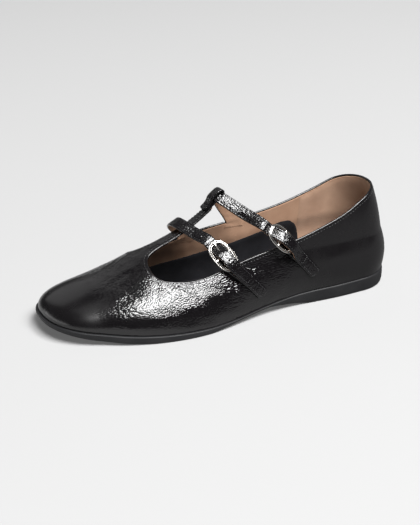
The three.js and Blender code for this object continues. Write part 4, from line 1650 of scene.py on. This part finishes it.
# ------------------------------------------------------------------ sole and sock
@dataclass
class Outsole:
    """The thin rubber sole with its low heel."""

    last: Last
    finishes: Finishes
    rows: int = 260
    # u, height of the tread, how far the edge stands out
    tread: Array = table(
        (0, 1.2, 0.7), (10, 0, 0.8), (70, 0, 1.0), (84, 2.6, 1.0), (104, 5, 1.1),
        (128, 3, 1.3), (150, 0, 1.5), (190, 0, 1.6), (207, 1.2, 1.6), (226, 3.8, 1.6),
        (249, 8.4, 1.7),
    )

    def build(self) -> None:
        """Makes the sole as rings round its outline.

        A ring lies at a share of the height between tread and feather line, drawn in
        from the edge by a few tenths where the edge is rounded.
        """
        turn, u, mirror = self.last.outline(self.rows)
        line = self.last.point(turn, 0.0)
        out = unit(self.last.normal(turn, 0.0) * [1, 1, 0])
        low = np.interp(u, self.tread[:, 0], self.tread[:, 1])
        low = blur(np.column_stack([low]), 5, True)[:, 0]
        low = np.where(low < 0.02, 0, low)
        lip = np.interp(u, self.tread[:, 0], self.tread[:, 2])
        high = self.last.feather(u) - GAP

        def ring(tuck: float, share: float) -> Array:
            """The outline drawn in by tuck, at a share of the sole's height."""
            points = line + out * (lip - tuck)[:, None]
            points[:, 2] = low + (high - low) * share
            return points

        def spine(share: float) -> Array:
            """The middle line between the two sides."""
            points = ring(2.0, share)
            return (points + points[mirror]) / 2

        # how far each ring is drawn in, and its share of the height
        edge = [
            (3.0, 1.0), (0.9, 1.0), (0.35, 0.985), (0.08, 0.93), (0.0, 0.84), (0.0, 0.62),
            (0.02, 0.4), (0.12, 0.24), (0.38, 0.1), (0.75, 0.025), (1.3, 0.0), (3.5, 0.0),
        ]
        rings = [spine(1.0)] + [ring(t, k) for t, k in edge] + [spine(0.0)]
        add_piece("rubber_sole", folded(rings), self.finishes.rubber, "outsole")


@dataclass
class Sock:
    """The insole with its wing up the inner side of the arch."""

    last: Last
    finishes: Finishes
    # u, height of the wing's top edge
    wing: Array = table(
        (48, 14), (49.5, 27), (52, 34.5), (56, 38.8), (64, 41), (80, 38), (110, 32.4),
        (140, 26.4), (162, 21), (178, 15),
    )
    inset: float = INNER_FACE + 0.2
    thickness: float = 2.2
    rows: int = 220

    def build(self) -> None:
        """Makes the sock and its wing."""
        turn, u, mirror = self.last.outline(self.rows)
        floor = self.last.feather(u)

        def ring(height: float, draw_in: float) -> Array:
            """Inside the wall at a height above the feather line."""
            climb = self.last.climb_to(turn, lambda p: p[..., 2] - floor - height)
            points, normals = self.last.at(turn, climb)
            return points - normals * (self.inset + draw_in)

        edge = [(0.15, 0.4), (0.3, 0.0), (1.2, 0.0), (1.9, 0.12), (2.25, 0.45), (2.35, 1.0)]
        rings = [ring(h, t) for h, t in edge]
        middle = lambda p: (p + p[mirror]) / 2
        rim, core = rings[-1], middle(rings[-1])
        bed = []
        for share in (0.92, 0.84, 0.74, 0.62, 0.5, 0.38, 0.26, 0.13, 0.0):
            row = core + (rim - core) * share
            row[:, 2] = floor + self.thickness - 0.35 * (1 - share**3)
            row[:, 2] += 0.14 * ripple(row, 61, 17.0) * ramp(u, 90, 130)
            bed.append(row)
        bed[-1] = middle(bed[-1])
        sock = folded([middle(rings[0]), *rings, *bed])
        add_piece("sock", sock, self.finishes.sock, "insole")
        self.build_wing()

    def build_wing(self) -> None:
        """A thin leather sheet against the inner wall, its top edge pared thin."""
        top = column(self.wing, 1)
        first, final = self.wing[0, 0], self.wing[-1, 0]
        u = first + (final - first) * np.sin(np.linspace(0, math.pi / 2, 150)) ** 2
        u = np.unique(np.concatenate([u, np.linspace(first, first + 16, 30)]))[:, None]
        share = np.linspace(0, 1, 22)[None]
        turn = self.last.turn_of(Side.MEDIAL, u)
        foot = self.last.feather(u) + 0.8
        z = foot + (top(u) - foot) * share
        turn = np.broadcast_to(turn, z.shape)
        climb = self.last.climb_to(turn, lambda p: p[..., 2] - z)
        points, normals = self.last.at(turn, climb)
        wave = 0.18 * ripple(points, 67, 19.0) * (1 - share**4)
        thick = 0.35 + 0.75 * np.sqrt(np.clip(1 - share**10, 0, 1)) + wave
        outer = points - normals * (self.inset - 0.12)
        inner = points - normals * (self.inset - 0.12 + thick)[..., None]
        sheet = panel(outer, inner, flip=True)
        add_piece("sock_wing", sheet, self.finishes.sock)


# ------------------------------------------------------------------ studio
@dataclass
class Studio:
    """The floor, the lights and the camera."""

    lens: float = 86.0
    # azimuth and elevation in degrees, distance in m, and the spot they are taken from
    stand: tuple[float, float, float] = (66.66, 22.02, 0.8402)
    spot: Triple = (-23.65, -44.03, 64.93)
    aim: Triple = (0.0, -0.007, 0.03)
    floor_size: float = 12.0
    floor_shade: float = 0.33
    floor_glow: float = 0.11
    room: Span = (0.8, 0.04)  # brightness added where the camera sees the room, and for all

    def floor(self) -> None:
        """A wide pale floor.

        It glows a little for camera rays; painted shade darkens its far side in reflections.
        """
        mesh = bpy.data.meshes.new("floor")
        size = self.floor_size
        corners = [(-size, -size, 0), (size, -size, 0), (size, size, 0), (-size, size, 0)]
        mesh.from_pydata(corners, [], [(0, 1, 2, 3)])
        material, nodes, shader, place = plain_material("pale_floor")
        shader.inputs["Emission Color"].default_value = (1, 1, 1, 1)
        path = nodes.add("LightPath").outputs
        glow = nodes.math("MULTIPLY", path["Is Camera Ray"], self.floor_glow)
        spot = nodes.add("SeparateXYZ", {0: place["Object"]}).outputs
        side = nodes.math("MULTIPLY", spot[0], 0.5)
        side = nodes.math("MULTIPLY_ADD", spot[1], 0.87, side)
        # Painted shade: for glossy rays the floor's far side is darker, standing in for shade
        # there.
        dim = nodes.remap(side, (-0.05, 0.11), (0.0, -0.23))
        pale = nodes.math("MULTIPLY_ADD", path["Is Glossy Ray"], dim, self.floor_shade)
        nodes.wire(shader, {"Emission Strength": glow, "Base Color": pale})
        nodes.wire(shader, {"Roughness": 0.7, "Specular IOR Level": 0.2})
        mesh.materials.append(material)
        floor = bpy.data.objects.new("floor", mesh)
        bpy.context.scene.collection.objects.link(floor)

    def lamp(
        self,
        name: str,
        azimuth: float,
        elevation: float,
        distance: float,
        size: tuple[float, float],
        brightness: float,
    ) -> None:
        """A rectangular soft light aimed at the shoe.

        Args:
            name: its name.
            azimuth: degrees round the shoe from +X towards +Y.
            elevation: degrees above the floor.
            distance: from the shoe's middle, m.
            size: width and height, m.
            brightness: radiance of its face; its power is that times pi times its area.
        """
        data = bpy.data.lights.new(name, "AREA")
        data.shape = "RECTANGLE"
        data.size, data.size_y = size
        data.energy = brightness * math.pi * size[0] * size[1]
        a, e = math.radians(azimuth), math.radians(elevation)
        way = Vector((math.cos(a) * math.cos(e), math.sin(a) * math.cos(e), math.sin(e)))
        lamp = bpy.data.objects.new(name, data)
        lamp.location = Vector((0, 0, 0.03)) + way * distance
        lamp.rotation_mode = "QUATERNION"
        lamp.rotation_quaternion = way.to_track_quat("Z", "Y")
        lamp.visible_camera = False
        bpy.context.scene.collection.objects.link(lamp)

    def lights(self) -> None:
        """A key lamp over the outer side, two soft boxes, a pale wall and a dim room."""
        world = bpy.data.worlds.new("studio")
        bpy.context.scene.world = world
        world.use_nodes = True
        nodes = Nodes(world.node_tree)
        seen = nodes.add("LightPath").outputs["Is Camera Ray"]
        strength = nodes.math("MULTIPLY_ADD", seen, *self.room)
        background = world.node_tree.nodes["Background"]
        nodes.wire(background, {"Color": (1, 1, 1, 1), "Strength": strength})
        # name, azimuth, elevation, distance, size, brightness
        self.lamp("key", 20, 60, 4.4, (3.3, 2.1), 25.0)
        self.lamp("overhead", -95, 84, 4.4, (2.4, 2.4), 0.4)
        self.lamp("toe_wall", -108, 3, 5.0, (7.0, 1.5), 2.0)
        self.lamp("back_box", 178, 36, 4.4, (3.4, 2.8), 0.45)

    def camera(self) -> None:
        """The camera that looks at the outer side from the front, a little from above."""
        data = bpy.data.cameras.new("camera")
        data.lens = self.lens
        azimuth, elevation = math.radians(self.stand[0]), math.radians(self.stand[1])
        flat = math.cos(elevation)
        back = (math.sin(azimuth) * flat, -math.cos(azimuth) * flat, math.sin(elevation))
        target = Vector(self.spot) + Vector(SHIFT)
        camera = bpy.data.objects.new("camera", data)
        camera.location = target / 1000 + Vector(back) * self.stand[2]
        look = camera.location - Vector(self.aim)
        camera.rotation_mode = "QUATERNION"
        camera.rotation_quaternion = look.to_track_quat("Z", "Y")
        bpy.context.scene.collection.objects.link(camera)
        bpy.context.scene.camera = camera

    def build(self) -> None:
        """Makes the floor, the lights and the camera."""
        bpy.context.scene.view_settings.view_transform = "Standard"
        self.floor()
        self.lights()
        self.camera()


def main() -> None:
    """Builds the shoe piece by piece, then the studio."""
    logging.basicConfig(level=logging.INFO, format="%(name)s %(message)s")
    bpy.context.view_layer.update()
    finishes = Finishes.build()
    last = Last()
    upper = Upper(last, finishes)
    upper.build()
    Outsole(last, finishes).build()
    Sock(last, finishes).build()
    front, rear = Strap("front", FRONT, upper), Strap("rear", REAR, upper)
    front.build()
    rear.build()
    Loop(rear).build()
    Studio().build()


if __name__ == "__main__":
    main()
